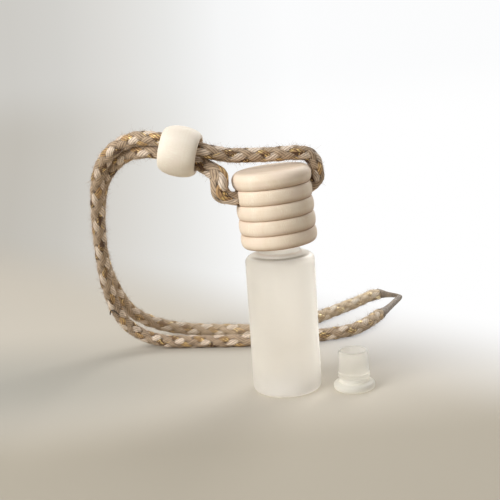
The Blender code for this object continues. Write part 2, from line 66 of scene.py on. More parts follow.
class Body(Enum):
    """The moving bodies that pieces ride on."""

    VIAL = "vial"
    CAP = "cap"
    BEAD = "bead"
    STOPPER = "stopper"


class Slot(Enum):
    """The record's material slots that pieces made here show."""

    GLASS = "frosted_glass"
    CAP_WOOD = "cap_wood"
    BEAD_WOOD = "bead_wood"
    STOPPER = "stopper_plastic"
    BRAID = "braided_cord"
    FUSED = "fused_cord"


# ---------------------------------------------------------------- meshes


def mesh_object(
    name: str,
    vertices: Array,
    faces: Sequence[Array],
    maps: Optional[dict[str, Array]] = None,
    sharp_degrees: float = 180.0,
) -> Item:
    """A smooth object at the origin from arrays of places and of faces.

    Args:
        name: the object's name.
        vertices: places, one row each.
        faces: arrays of vertex numbers, one row a face, each with its own number of corners.
        maps: UV maps by name, one row for each corner, in the order of the faces.
        sharp_degrees: edges that turn more than this are drawn sharp.

    Returns:
        The new object, linked to the scene.
    """
    corners = np.concatenate([block.ravel() for block in faces]).astype(np.int32)
    sizes = np.concatenate([np.full(len(block), block.shape[1]) for block in faces])
    starts = np.concatenate([[0], np.cumsum(sizes)[:-1]]).astype(np.int32)
    mesh = bpy.data.meshes.new(name)
    mesh.vertices.add(len(vertices))
    mesh.vertices.foreach_set("co", np.asarray(vertices, np.float32).ravel())
    mesh.loops.add(len(corners))
    mesh.loops.foreach_set("vertex_index", corners)
    mesh.polygons.add(len(sizes))
    mesh.polygons.foreach_set("loop_start", starts)
    mesh.update(calc_edges=True)
    for map_name, values in (maps or {}).items():
        layer = mesh.uv_layers.new(name=map_name)
        layer.uv.foreach_set("vector", np.asarray(values, np.float32).ravel())
    mesh.validate()
    mesh.shade_smooth()
    mesh.set_sharp_from_angle(angle=math.radians(sharp_degrees))
    item = bpy.data.objects.new(name, mesh)
    bpy.context.scene.collection.objects.link(item)
    return item


def band_faces(rows: int, columns: int) -> Array:
    """Quads of a grid whose last column joins its first.

    Args:
        rows: rings along the surface.
        columns: points in each ring.

    Returns:
        Vertex numbers, four a face, which face outward where the rings advance along the
        right-hand thumb of their own turn.
    """
    row, column = np.meshgrid(np.arange(rows - 1), np.arange(columns), indexing="ij")
    after = (column + 1) % columns
    quads = [row * columns + column, row * columns + after]
    quads += [(row + 1) * columns + after, (row + 1) * columns + column]
    return np.stack(quads, -1).reshape(-1, 4)


def end_fans(count: int, sides: int) -> list[Array]:
    """Triangles that close the first and the last ring of a tube.

    Args:
        count: points in all rings; the middles of both ends come right after them.
        sides: points in each ring.

    Returns:
        Each end's vertex numbers, three a face.
    """
    first, last = np.arange(sides), count - sides + np.arange(sides)
    start = np.stack([np.roll(first, -1), first, np.full(sides, count)], -1)
    return [start, np.stack([last, np.roll(last, -1), np.full(sides, count + 1)], -1)]


def tube_faces(rings: int, sides: int) -> list[Array]:
    """Quads of a thin tube, and one flat face at each end."""
    last = (rings - 1) * sides + np.arange(sides)
    return [band_faces(rings, sides), np.stack([np.arange(sides)[::-1], last])]


def ways_out(front: Array, side: Array, sides: int) -> Array:
    """The ways out of a line, front cos a + side sin a, at each of its points and angles a."""
    turn = (2 * np.pi * np.arange(sides) / sides)[None, :, None]
    return front[:, None] * np.cos(turn) + side[:, None] * np.sin(turn)


def arc(centre: Sequence[float], radius: float, first: float, last: float, steps: int) -> Array:
    """An outline's arc: centre + radius (cos a, sin a), with a from first to last in degrees."""
    angle = np.radians(np.linspace(first, last, steps + 1))
    return np.stack([centre[0] + radius * np.cos(angle), centre[1] + radius * np.sin(angle)], -1)


def bulge(steps: int, fullness: float) -> tuple[Array, Array]:
    """Shares w from -1 to 1 along a rounded side, which stands out there by (1 - |w|^fullness)^0.5."""
    share = -np.cos(np.linspace(0, np.pi, steps + 1))
    return share, np.sqrt(np.clip(1 - np.abs(share) ** fullness, 0, 1))


def filled(outline: Array, longest: Union[float, Array]) -> Array:
    """An outline with points added evenly on its long stretches.

    Args:
        outline: points (radius, height).
        longest: the longest step that stays, or one such length for each step.

    Returns:
        The outline with no step longer than that.
    """
    steps = np.linalg.norm(np.diff(outline, axis=0), axis=1)
    counts = np.maximum(1, np.ceil(steps / longest)).astype(int)
    places = np.concatenate([index + np.arange(n) / n for index, n in enumerate(counts)])
    return read_at(np.append(places, len(outline) - 1), np.arange(len(outline)), outline)


def read_at(places: Array, known: Array, rows: Array) -> Array:
    """Rows drawn straight between the rows at known places."""
    return np.stack([np.interp(places, known, column) for column in rows.T], -1)


def turned_grid(outline: Array, segments: int) -> tuple[Array, Array, Array]:
    """A turned surface's points: every outline point at every angle.

    Args:
        outline: points (radius, height).
        segments: points round the axis.

    Returns:
        Their radius, turn and height, one row for each outline point.
    """
    turn = 2 * np.pi * np.arange(segments) / segments
    radius = np.repeat(outline[:, :1], segments, axis=1)
    height = np.repeat(outline[:, 1:], segments, axis=1)
    return radius, np.broadcast_to(turn, radius.shape), height


def turned_piece(
    name: str,
    outline: Array,
    segments: int,
    place: Matrix,
    swell: Optional[Array] = None,
    loop: bool = False,
) -> Item:
    """A turned piece: (r cos a, r sin a, h) for each outline point (r, h) and angle a, then placed.

    Args:
        name: the object's name.
        outline: points (radius, height), from the lower or inner side upward. An open
            outline starts and ends on the axis.
        segments: points round the axis.
        place: where the piece's axis stands.
        swell: what is added to the radius, one number for each outline point and angle.
        loop: true for an outline that closes on itself.

    Returns:
        The closed object.
    """
    rings = outline if loop else outline[1:-1]
    radius, turn, height = turned_grid(rings, segments)
    if swell is not None:
        radius = radius + (swell if loop else swell[1:-1])
    points = np.stack([radius * np.cos(turn), radius * np.sin(turn), height], -1).reshape(-1, 3)
    faces, count = [band_faces(len(rings), segments)], len(points)
    if loop:
        first, last = np.arange(segments), count - segments + np.arange(segments)
        faces.append(np.stack([last, np.roll(last, -1), np.roll(first, -1), first], -1))
    else:
        points = np.vstack([points, [(0.0, 0.0, outline[0, 1]), (0.0, 0.0, outline[-1, 1])]])
        faces += end_fans(count, segments)
    matrix = np.array(place, float)
    points = points @ matrix[:3, :3].T + matrix[:3, 3]
    return mesh_object(name, points, faces, sharp_degrees=SHARP_DEGREES)


def ride(item: Item, finish: bpy.types.Material, body: Body, slot: Slot, *nodes: str) -> None:
    """Dresses a piece, ties it to its body, and reports it.

    Args:
        item: the piece.
        finish: its material.
        body: what it moves with.
        slot: the record's slot that it shows; not used.
        nodes: the solids that it stands for.
    """
    item.data.materials.clear()
    item.data.materials.append(finish)
    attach(item, body.value)
    if nodes:
        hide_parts(*nodes)
    LOG.info("%s: %d faces", item.name, len(item.data.polygons))


# ---------------------------------------------------------------- shader graphs


def math_node(operation: str, turned: bool = False) -> Callable[..., "Term"]:
    """A method for one Math node's operation, on two numbers or on one.

    Args:
        operation: the node's operation.
        turned: true where the other number comes first.

    Returns:
        The method.
    """

    def result(self: "Term", other: "Value" = 0.0) -> "Term":
        """What the operation gives."""
        first, second = (other, self) if turned else (self, other)
        return self.graph.term("Math", {0: first, 1: second}, operation=operation)

    return result


class Term:
    """What a node gives, which lets the finishes write their nodes as plain arithmetic."""

    def __init__(self, graph: "Graph", socket: bpy.types.NodeSocket) -> None:
        """Keeps the graph and the node's output."""
        self.graph, self.socket = graph, socket

    __add__ = __radd__ = math_node("ADD")
    __sub__, __rsub__ = math_node("SUBTRACT"), math_node("SUBTRACT", turned=True)
    __mul__ = __rmul__ = math_node("MULTIPLY")
    __truediv__, __pow__ = math_node("DIVIDE"), math_node("POWER")
    __mod__, __abs__ = math_node("FLOORED_MODULO"), math_node("ABSOLUTE")
    __gt__, __lt__ = math_node("GREATER_THAN"), math_node("LESS_THAN")
    floor, fract = math_node("FLOOR"), math_node("FRACT")
    sine, cosine = math_node("SINE"), math_node("COSINE")
    most, pingpong = math_node("MAXIMUM"), math_node("PINGPONG")

    def smooth(self, low: float, high: float) -> "Term":
        """0 below low, 1 above high and an S curve between; low may be the larger."""
        ends = {0: self, 1: low, 2: high, 3: 0.0, 4: 1.0}
        return self.graph.term("MapRange", ends, interpolation_type="SMOOTHSTEP")


class Graph:
    """A material's or the world's nodes, with a short call for each kind that is used."""

    def __init__(self, name: str, world: bool = False) -> None:
        """Starts a material or a world that holds only its output.

        Args:
            name: its name.
            world: true for a world.
        """
        self.owner = (bpy.data.worlds if world else bpy.data.materials).new(name)
        self.owner.use_nodes = True
        self.owner.node_tree.nodes.clear()
        self.output = self.node("OutputWorld" if world else "OutputMaterial")

    def node(self, kind: str, inputs: Optional[Inputs] = None, **settings: object) -> bpy.types.Node:
        """A new node.

        Args:
            kind: its type, without the ShaderNode in front.
            inputs: what goes into it, by the sockets' names or numbers.
            settings: its own settings.

        Returns:
            The node.
        """
        made = self.owner.node_tree.nodes.new("ShaderNode" + kind)
        for name, setting in settings.items():
            setattr(made, name, setting)
        for key, value in (inputs or {}).items():
            socket = made.inputs[key]
            if isinstance(value, Term):
                self.owner.node_tree.links.new(value.socket, socket)
            elif isinstance(value, tuple) and socket.type == "RGBA":
                socket.default_value = (*value, 1.0)
            else:
                socket.default_value = value
        return made

    def term(
        self, kind: str, inputs: Optional[Inputs] = None, output: Union[int, str] = 0, **settings: object
    ) -> Term:
        """What one output of a new node gives, with its kind, inputs and settings as for node."""
        return Term(self, self.node(kind, inputs, **settings).outputs[output])

    def mix(self, share: Value, a: Value, b: Value, blend: str = "MIX") -> Term:
        """Colour a turned into colour b by a share."""
        parts = {0: share, 6: a, 7: b}
        return self.term("Mix", parts, 2, data_type="RGBA", blend_type=blend, clamp_factor=True)

    def blend(self, share: Value, a: Value, b: Value) -> Term:
        """Number a turned into number b by a share."""
        return self.term("Mix", {0: share, 2: a, 3: b}, data_type="FLOAT", clamp_factor=True)

    def ramp(self, value: Value, stops: Sequence[tuple[float, Colour]]) -> Term:
        """A colour that runs through the stops as the value rises.

        Args:
            value: the number.
            stops: each colour and the number, from 0 to 1, where it is reached.

        Returns:
            The colour.
        """
        made = self.node("ValToRGB", {0: value})
        elements = made.color_ramp.elements
        while len(elements) < len(stops):
            elements.new(0.5)
        for element, (position, colour) in zip(elements, stops):
            element.position = position
            element.color = (*colour, 1.0)
        return Term(self, made.outputs[0])

    def place(self) -> Term:
        """The point's place in the object's own frame."""
        return self.term("TexCoord", output="Object")

    def local(self, centre: Place = ORIGIN, turn: Place = ORIGIN) -> Term:
        """The place seen from a centre, in millimetres, with a turn in Euler angles undone."""
        inputs = {0: self.place(), "Location": centre, "Rotation": turn, "Scale": (MILLIMETRE,) * 3}
        return self.term("Mapping", inputs, vector_type="TEXTURE")

    def parts(self, vector: Value) -> tuple[Term, ...]:
        """A vector's three numbers."""
        return tuple(Term(self, output) for output in self.node("SeparateXYZ", {0: vector}).outputs)

    def joined(self, x: Value, y: Value, z: Value = 0.0) -> Term:
        """A vector from three numbers."""
        return self.term("CombineXYZ", {0: x, 1: y, 2: z})

    def length(self, x: Value, y: Value) -> Term:
        """The length of the vector (x, y)."""
        return self.term("VectorMath", {0: self.joined(x, y)}, "Value", operation="LENGTH")

    def noise(
        self, place: Value, scale: Union[float, Place], detail: float = 3.0, rough: float = 0.5
    ) -> Term:
        """Soft noise.

        Args:
            place: where it is read.
            scale: its scale, or one for each axis.
            detail: how many finer layers it has.
            rough: how strong they are.

        Returns:
            A number from 0 to 1 about 0.5.
        """
        if isinstance(scale, tuple):
            place, scale = self.term("VectorMath", {0: place, 1: scale}, operation="MULTIPLY"), 1.0
        inputs = {"Vector": place, "Scale": scale, "Detail": detail, "Roughness": rough}
        return self.term("TexNoise", inputs)

    def chance(self, x: Value, y: Value, z: Value) -> Term:
        """One even random number for each whole place of a vector."""
        return self.term("TexWhiteNoise", {"Vector": self.joined(x, y, z)}, "Value")

    def bump(self, height: Value, depth: float) -> Term:
        """A normal bent by a height from 0 to 1 that stands for a depth."""
        return self.term("Bump", {"Strength": 1.0, "Distance": depth, "Height": height})

    def shader(self, **values: Value) -> Term:
        """A Principled shader; underscores in the names stand for spaces."""
        named = {name.replace("_", " "): value for name, value in values.items()}
        return self.term("BsdfPrincipled", named)

    def mixed(self, share: Value, a: Term, b: Term) -> Term:
        """Shader a turned into shader b by a share."""
        return self.term("MixShader", {0: share, 1: a, 2: b})

    def seen_by(self, rays: str) -> Term:
        """1 for rays of a kind, such as Camera, and 0 for others."""
        return self.term("LightPath", output=f"Is {rays} Ray")

    def done(self, surface: Term) -> bpy.types.ID:
        """Ends the graph in its output and gives the material or the world."""
        self.owner.node_tree.links.new(surface.socket, self.output.inputs["Surface"])
        return self.owner


def scaled(colour: Colour, factor: float) -> Colour:
    """A colour made darker or lighter."""
    return tuple(min(1.0, factor * part) for part in colour)


# ---------------------------------------------------------------- finishes


@dataclass(frozen=True)
class Haze:
    """How milky a wall is, and how much of the light that the milk takes goes on through."""

    milkiness: float
    through: float


@dataclass(frozen=True)
class MilkyWall:
    """The pale cloudy wall of a hollow turned piece: glass etched outside, or milky plastic.

    Levels are in millimetres above the piece's centre. The foot's haze takes over below
    foot_level, the shoulder's between shoulder_low and neck_low, and the neck's above. The neck
    has a milk of its own, on the glass a paler pink: painted light for the wood's warm light
    under the cap. Where a paler milk is given, it is painted light: it grows from the left to
    the right and away from the waist, and a painted shade line runs round the front of the shoulder.
    """

    name: str
    centre: Place
    milk: Colour
    # The neck's milk; on the glass a paler pink, painted light from the wood under the cap.
    neck_painted_light_milk: Colour
    clear: Colour
    roughness: float
    lamp_share: float
    bore: Haze
    side: Haze
    foot: Haze
    shoulder: Haze
    neck: Haze
    floor_level: float
    foot_level: float
    shoulder_low: float
    neck_low: float
    bore_radius: float
    neck_bore_radius: float
    neck_roughness: float
    index: float = 1.46
    grain_depth: float = 0.00001
    # Painted light: a paler milk on the right, where the wall is lit through from behind.
    painted_light_milk: Optional[Colour] = None
    waist_level: float = 17.0
    painted_light_span: Span = (-4.0, 12.0)
    painted_light_edge: Span = (11.5, 9.0)
    # Painted shade: the dark line round the front of the shoulder.
    painted_crease_shade: Colour = (0.36, 0.315, 0.26)
    crease_shade_radius: float = 9.2
    crease_shade_span: Span = (1.25, 0.15)
    crease_shade_front: Span = (-1.0, -7.0)

    def varied(self, graph: Graph, place: Term, part: str) -> Term:
        """One number of the haze at each place: the bore's inside, and outside each level's.

        Args:
            graph: the material's graph.
            place: the point in millimetres from the piece's centre.
            part: the number's name in Haze.

        Returns:
            The number.
        """
        x, y, z = graph.parts(place)
        bore = graph.blend(z > self.shoulder_low, self.bore_radius, self.neck_bore_radius)
        outside = (graph.length(x, y) > bore).most(z < self.floor_level)
        hazes = (self.bore, self.side, self.foot, self.shoulder, self.neck)
        inside, side, foot, shoulder, neck = (getattr(haze, part) for haze in hazes)
        skin = graph.blend(z.smooth(self.foot_level, self.floor_level), side, foot)
        skin = graph.blend(z.smooth(self.shoulder_low, self.shoulder_low + 0.3), skin, shoulder)
        skin = graph.blend(z.smooth(self.neck_low, self.neck_low + 0.5), skin, neck)
        return graph.blend(outside, inside, skin)

    def material(self) -> bpy.types.Material:
        """Milk that light soaks through, mixed with a rough clear wall.

        Both let a share of the lamps' light straight through, for a pale shadow.

        Returns:
            The material.
        """
        graph = Graph(self.name)
        place = graph.local(self.centre)
        x, y, z = graph.parts(place)
        grain = graph.noise(place, 7.0, 2.0, 0.6)
        cloud = graph.noise(place, 0.12, 2.0).smooth(0.35, 0.65)
        milk = graph.mix(cloud, self.milk, scaled(self.milk, 0.97))
        # Painted light: paler milk towards the right and away from the waist.
        if self.painted_light_milk:
            share = (abs(z - self.waist_level) * 0.5 + x).smooth(*self.painted_light_span)
            milk = graph.mix(share * x.smooth(*self.painted_light_edge), milk, self.painted_light_milk)
        # Painted light: the neck's own milk, paler and pinker on the glass.
        milk = graph.mix(z.smooth(self.neck_low - 0.6, self.neck_low), milk, self.neck_painted_light_milk)
        # Painted shade: a dark line round the front of the shoulder.
        if self.painted_light_milk:
            painted_crease_shade = abs(graph.length(x, y) - self.crease_shade_radius).smooth(*self.crease_shade_span)
            painted_crease_shade = painted_crease_shade * z.smooth(self.shoulder_low - 1.0, self.shoulder_low - 0.3)
            milk = graph.mix(painted_crease_shade * y.smooth(*self.crease_shade_front), milk, self.painted_crease_shade)
        normal = graph.bump(grain, self.grain_depth)
        rough = graph.blend(grain, self.roughness - 0.04, self.roughness + 0.04)
        on_neck = z.smooth(self.neck_low, self.neck_low + 0.5)
        clear = graph.shader(
            Base_Color=self.clear,
            Roughness=graph.blend(on_neck, rough, self.neck_roughness),
            IOR=self.index,
            Transmission_Weight=1.0,
            Normal=normal,
        )
        skin = graph.shader(Base_Color=milk, Roughness=0.6, Specular_IOR_Level=0.3, Normal=normal)
        through = graph.term("BsdfTranslucent", {"Color": milk, "Normal": normal})
        body = graph.mixed(self.varied(graph, place, "through"), skin, through)
        wall = graph.mixed(self.varied(graph, place, "milkiness"), clear, body)
        share = graph.seen_by("Shadow") * self.lamp_share
        return graph.done(graph.mixed(share, wall, graph.term("BsdfTransparent")))


@dataclass(frozen=True)
class TurnedWood:
    """Pale close-grained wood, turned on a lathe and left bare.

    Radii and levels are in millimetres in the piece's own frame. Rings start at first_ring and
    stand ring_pitch apart; painted shade lies in the grooves and under each ring, below a set level.
    """

    name: str
    centre: Place
    turn: Place
    light: Colour
    dark: Colour
    rosy: Colour
    # Colour of the painted shade in the grooves, under the rings and on the top face.
    groove_shade: Colour
    groove_radius: float
    ridge_radius: float
    painted_shade_top: float
    face_level: float
    first_ring: float
    ring_pitch: float
    fleck: float
    shade: float
    wave_scale: Place = (0.10, 0.10, 0.03)
    year_width: float = 0.22
    year_wave: float = 2.2
    pore_scale: Place = (2.6, 2.6, 0.5)
    streak_scale: Place = (4.5, 4.5, 0.55)
    lathe_scale: Span = (1.5, 4.0)
    blush_scale: Place = (0.16, 0.16, 0.3)
    patch_scale: float = 0.22
    shadow_side: Span = (-8.0, 6.0)
    relief: float = 0.00006

    def material(self) -> bpy.types.Material:
        """Grain along the block, rays as short flecks, lathe lines, and painted shade in the grooves,
        under each ring and on the top face.

        Returns:
            The material.
        """
        graph = Graph(self.name)
        place = graph.local(self.centre, self.turn)
        x, y, z = graph.parts(place)
        reach = graph.length(x, y)
        wave = graph.noise(place, self.wave_scale, 3.0, 0.55)
        year = (y * self.year_width + wave * self.year_wave).fract().pingpong(0.5)
        pores = graph.noise(place, self.pore_scale, 4.0, 0.65)
        streak = graph.noise(place, self.streak_scale, 2.0)
        outward, upward = self.lathe_scale
        lathe = graph.noise(graph.joined(0.0, reach * outward, z * upward), 1.0, 2.0, 0.6)
        tone = year * 0.5 + pores * 0.6 + lathe * 0.5
        colour = graph.mix(tone.smooth(0.35, 1.15), self.light, self.dark)
        blush = graph.noise(place, self.blush_scale, 2.0).smooth(0.45, 0.65)
        colour = graph.mix(blush * 0.7, colour, self.rosy)
        patch = graph.noise(place, self.patch_scale, 1.0).smooth(0.52, 0.62)
        for start, end, tint in ((0.54, 0.62, scaled(self.light, 1.2)), (0.46, 0.38, self.dark)):
            colour = graph.mix(streak.smooth(start, end) * patch * self.fleck, colour, tint)
        # Painted shade: each ring's lower side darker, more so on the right, below a set level.
        below = z.smooth(self.painted_shade_top, self.painted_shade_top - 0.5)
        lower = ((z - self.first_ring) / self.ring_pitch).fract().smooth(0.45, 0.0)
        side = reach > self.groove_radius - 0.4
        shadow = lower * side * below * graph.blend(x.smooth(*self.shadow_side), 0.4, 1.0)
        colour = graph.mix(shadow * self.shade, colour, self.groove_shade)
        # Painted shade in and beside the grooves.
        broad = reach.smooth(self.ridge_radius + 0.25, self.groove_radius)
        deep = reach.smooth(self.groove_radius + 0.3, self.groove_radius)
        outer = reach.smooth(self.groove_radius - 0.5, self.groove_radius - 0.2)
        painted_groove_shade = (broad * 0.35 + deep * 0.45) * outer * below
        colour = graph.mix(painted_groove_shade, colour, self.groove_shade)
        # Painted shade: the top face a little darker.
        face = z.smooth(self.face_level - 0.5, self.face_level)
        colour = graph.mix(face * 0.22, colour, self.groove_shade)
        return graph.done(
            graph.shader(
                Base_Color=colour,
                Roughness=graph.blend(pores, 0.46, 0.62),
                Specular_IOR_Level=0.38,
                Normal=graph.bump(pores * 0.5 + streak * 0.4 + lathe * 0.5, self.relief),
            )
        )


@dataclass(frozen=True)
class MouldedPlastic:
    """Plain moulded plastic or foam with a fine skin."""

    name: str
    tint: Colour
    roughness: float
    grain_depth: float
    grain_scale: float

    def material(self) -> bpy.types.Material:
        """A faintly cloudy colour under a fine grain.

        Returns:
            The material.
        """
        graph = Graph(self.name)
        cloud = graph.noise(graph.local(), 0.35).smooth(0.3, 0.7)
        grain = graph.noise(graph.local(), self.grain_scale, 2.0)
        return graph.done(
            graph.shader(
                Base_Color=graph.mix(cloud, self.tint, scaled(self.tint, 0.94)),
                Roughness=graph.blend(cloud, self.roughness - 0.04, self.roughness + 0.06),
                Normal=graph.bump(grain, self.grain_depth),
            )
        )


@dataclass(frozen=True)
class BraidWeave:
    """A round braid of eight bundles, four of each hand, each over one and under one.

    U counts the bundles of one hand round the cord and V those of the other, so a bundle is a
    whole step of U or of V. Where U and V cross, the one whose turn it is lies on top.
    """

    core_radius: float = 0.00178
    crown: float = 0.00040
    fullness: float = 0.7
    weave: float = 0.00022

    def radius(self, u: Array, v: Array) -> Array:
        """The cord's radius: the core plus whichever hand's bundle lies on top.

        Each stands out by crown times sin(pi times the share across the bundle) to the
        fullness, plus weave times the cosine that is 1 in the middle of each crossing where
        it lies on top.

        Args:
            u: bundles of the first hand.
            v: bundles of the second hand.

        Returns:
            The radius, in metres.
        """
        heights = []
        for own, other, sign in ((u, v, 1.0), (v, u, -1.0)):
            crown = np.sin(np.pi * (own - np.floor(own))).clip(0) ** self.fullness
            rise = sign * np.cos(np.pi * (other - 0.5 + np.floor(own)))
            heights.append(self.crown * crown + self.weave * rise)
        return self.core_radius + np.maximum(*heights)


@dataclass(frozen=True)
class BraidYarn:
    """Yarn colours of the braid: taupe bundles, two of cream and two of gold thread."""

    weave: BraidWeave
    cream: Colour = (0.52, 0.385, 0.285)
    cream_light: Colour = (0.90, 0.745, 0.59)
    taupe: Colour = (0.225, 0.147, 0.086)
    taupe_light: Colour = (0.55, 0.40, 0.265)
    brown: Colour = (0.085, 0.036, 0.014)
    tan: Colour = (0.60, 0.365, 0.165)
    gold: Colour = (0.93, 0.67, 0.28)
    # Colour of the painted shade between yarns and bundles.
    gap_shade: Colour = (0.075, 0.05, 0.03)
    fused: Colour = (0.20, 0.155, 0.115)
    # Painted light that makes the far stretch paler.
    far_painted_light: Colour = (0.44, 0.315, 0.19)
    sheen: Colour = (0.9, 0.82, 0.72)
    yarns: float = 4.0
    ragged: float = 0.00022
    relief: float = 0.00014
    fibre_counts: Span = (24.0, 4.0)
    strand_counts: Span = (7.0, 1.6)
    patch_counts: Span = (2.5, 2.6)
    edge_counts: Span = (6.0, 3.0)
    ply_turns: Span = (26.0, 14.0)
    stray_place: float = 0.16
    stray_above: float = 0.88
    recess_shade_span: Span = (0.00038, 0.00004)
    painted_lift_span: Span = (0.018, 0.045)
    far_painted_light_span: Span = (0.035, 0.10)

    def material(self, fused: bool = False, lift: Colour = ORIGIN) -> bpy.types.Material:
        """The braid's colours, laid on its own map of U and V, with painted shade between yarns and
        bundles and painted light that makes it paler towards the far end.

        Args:
            fused: true for the melted end, whose yarns sink into one grey-brown mass.
            lift: painted light, the colour that the stretch behind the arc is paler by.

        Returns:
            The material.
        """
        graph = Graph("fused_cord" if fused else "braided_cord")
        u, v, _ = graph.parts(graph.term("UVMap", uv_map="braid"))
        whole_u, whole_v, share_u, share_v = u.floor(), v.floor(), u.fract(), v.fract()
        height_u = self.height(graph, share_u, v, whole_u, 1.0)
        height_v = self.height(graph, share_v, u, whole_v, -1.0)
        first = height_u > height_v
        across = graph.blend(first, share_v, share_u)
        along = graph.blend(first, u, v)
        bundle = graph.blend(first, whole_v + 100.5, whole_u)
        is_cream = first * ((whole_u % 2.0) < 0.5)
        is_gold = (1.0 - first) * ((whole_v % 2.0) < 0.5)
        tone = graph.chance((across * self.yarns).floor(), bundle, 3.0)
        ridge = abs((across * (math.pi * self.yarns)).sine())
        ply = (along * self.ply_turns[0] + across * self.ply_turns[1]).sine() * 0.5 + 0.5
        fibre, strands, patch = (
            self.streaks(graph, across, along, bundle, *counts)
            for counts in (self.fibre_counts, self.strand_counts, self.patch_counts)
        )
        # Partly painted light: the middle of each yarn is lighter, beside random yarn tone and fibre
        # streaks.
        light = (ridge * 0.35 + tone * 0.25 + strands * 1.1 + fibre * 0.35).smooth(0.66, 1.24)
        # Painted shade: darker seams between the yarns.
        seam_shade = ridge.smooth(0.55, 0.1) * 0.6
        taupe = graph.mix(seam_shade, graph.mix(light, self.taupe, self.taupe_light), self.gap_shade)
        cream = graph.mix(seam_shade * 0.9, graph.mix(light, self.cream, self.cream_light), self.taupe)
        glint = abs(across - 0.5).smooth(0.42, 0.30) * patch.smooth(0.51, 0.58) * ridge.smooth(0.25, 0.7)
        tanned = graph.chance(bundle, along.floor(), 15.0) * 1.6 - 0.35
        lit = graph.blend(light, 0.3, 1.0) * graph.blend(ridge, 0.45, 1.0)
        brown = graph.mix(glint, graph.mix(lit * tanned, self.brown, self.tan), self.gold)
        is_stray = graph.chance(bundle, along.floor(), 5.0) > self.stray_above
        stray = abs(across - self.stray_place).smooth(0.07, 0.03) * is_stray
        stray = stray * (1.0 - is_cream.most(is_gold)) * 0.7
        colour = graph.mix(is_gold, graph.mix(is_cream, taupe, cream), brown)
        colour = graph.mix(stray, colour, self.gold)
        # Painted shade: darker where the surface sinks between the bundles.
        depth = height_u.most(height_v).smooth(*self.recess_shade_span)
        colour = graph.mix(depth * 0.9, colour, self.gap_shade)
        x, y, _ = graph.parts(graph.place())
        # Painted light: the back of the rear strand and the far stretch are made paler.
        colour = graph.mix(y.smooth(*self.painted_lift_span), colour, lift, "SCREEN")
        colour = graph.mix((x * 0.35 + y).smooth(*self.far_painted_light_span), colour, self.far_painted_light, "SCREEN")
        metal = (glint * is_gold).most(stray)
        if fused:
            melted = graph.noise(graph.local(), 0.9, 4.0, 0.6).smooth(0.25, 0.55)
            colour = graph.mix(melted * 0.45 + 0.5, colour, self.fused)
            metal = metal * 0.2
        return graph.done(
            graph.shader(
                Base_Color=colour,
                Metallic=metal * 0.85,
                Roughness=graph.blend(metal, 0.55 if fused else 0.85, 0.28),
                Sheen_Weight=0.0 if fused else 0.2,
                Sheen_Roughness=0.5,
                Sheen_Tint=self.sheen,
                Normal=graph.bump(ridge * 0.6 + ply * 0.2 + strands * 0.5 + fibre * 0.4, self.relief),
            )
        )

    def streaks(
        self, graph: Graph, across: Term, along: Term, bundle: Term, fine: float, short: float
    ) -> Term:
        """Noise of a bundle's own, with fine streaks across it and short ones along a crossing."""
        return graph.noise(graph.joined(across * fine, along * short, bundle * 7.3), 1.0, 3.0, 0.6)

    def height(self, graph: Graph, share: Term, along: Term, whole: Term, sign: float) -> Term:
        """How far one hand's bundle stands out, as in BraidWeave.radius, with a ragged edge.

        Args:
            graph: the material's graph.
            share: the share across the bundle.
            along: the place along it, which counts the other hand's bundles.
            whole: the bundle's number.
            sign: 1 for the first hand and -1 for the second.

        Returns:
            The height, in metres.
        """
        crown = (share * math.pi).sine() ** self.weave.fullness * self.weave.crown
        rise = ((along - 0.5 + whole) * math.pi).cosine() * (sign * self.weave.weave)
        ragged = graph.chance((share * self.yarns).floor(), whole, 9.0 * sign)
        ragged = ragged + self.streaks(graph, share, along, whole, *self.edge_counts) - 1.0
        return crown + rise + ragged * self.ragged


# ---------------------------------------------------------------- routes


def metres(*rows: Sequence[float]) -> list[Place]:
    """Points in metres, from points in millimetres."""
    return [tuple(round(part * MILLIMETRE, 6) for part in row) for row in rows]


FRONT_ROUTE = metres(
    (10.1, 2.9, 65), (10.5, 3, 65), (11.6, 3.3, 65.3), (12.5, 3.6, 66), (13.2, 3.8, 67),
    (13.5, 3.9, 68.3), (13.4, 3.9, 70.1), (13.1, 3.8, 71.8), (12.2, 3.5, 73.7), (10.6, 3, 75.1),
    (7.8, 2.1, 75.7), (-0.4, 1.4, 75.8), (-8, 1, 76.1), (-14, 0.3, 76.6), (-18.2, -0.6, 77.7),
    (-21.5, -1.1, 78.7), (-23.2, -0.8, 79.3), (-33.4, 0.6, 82.4), (-35.1, 0.8, 82.9),
    (-39.6, 2.5, 83.4), (-44.4, 5.2, 82.9), (-49, 8.1, 80.8), (-53.1, 11.2, 77.4),
    (-56.6, 15.4, 71.6), (-58.9, 21.2, 62.2), (-60.3, 28, 51.1), (-61.3, 35.7, 39.4),
    (-61.5, 42, 29.2), (-60.8, 46, 22.2), (-59.1, 49.2, 15.2), (-55.8, 51.4, 9.4),
    (-50.2, 52.3, 5.2), (-42.6, 52, 2.9), (-34.3, 51.2, 2.4), (-11.5, 47.6, 2.4), (6, 46.9, 2.4),
    (18.8, 48.6, 2.4), (26.8, 51.8, 2.4), (33, 58.8, 2.4), (39.6, 70, 2.4),
)
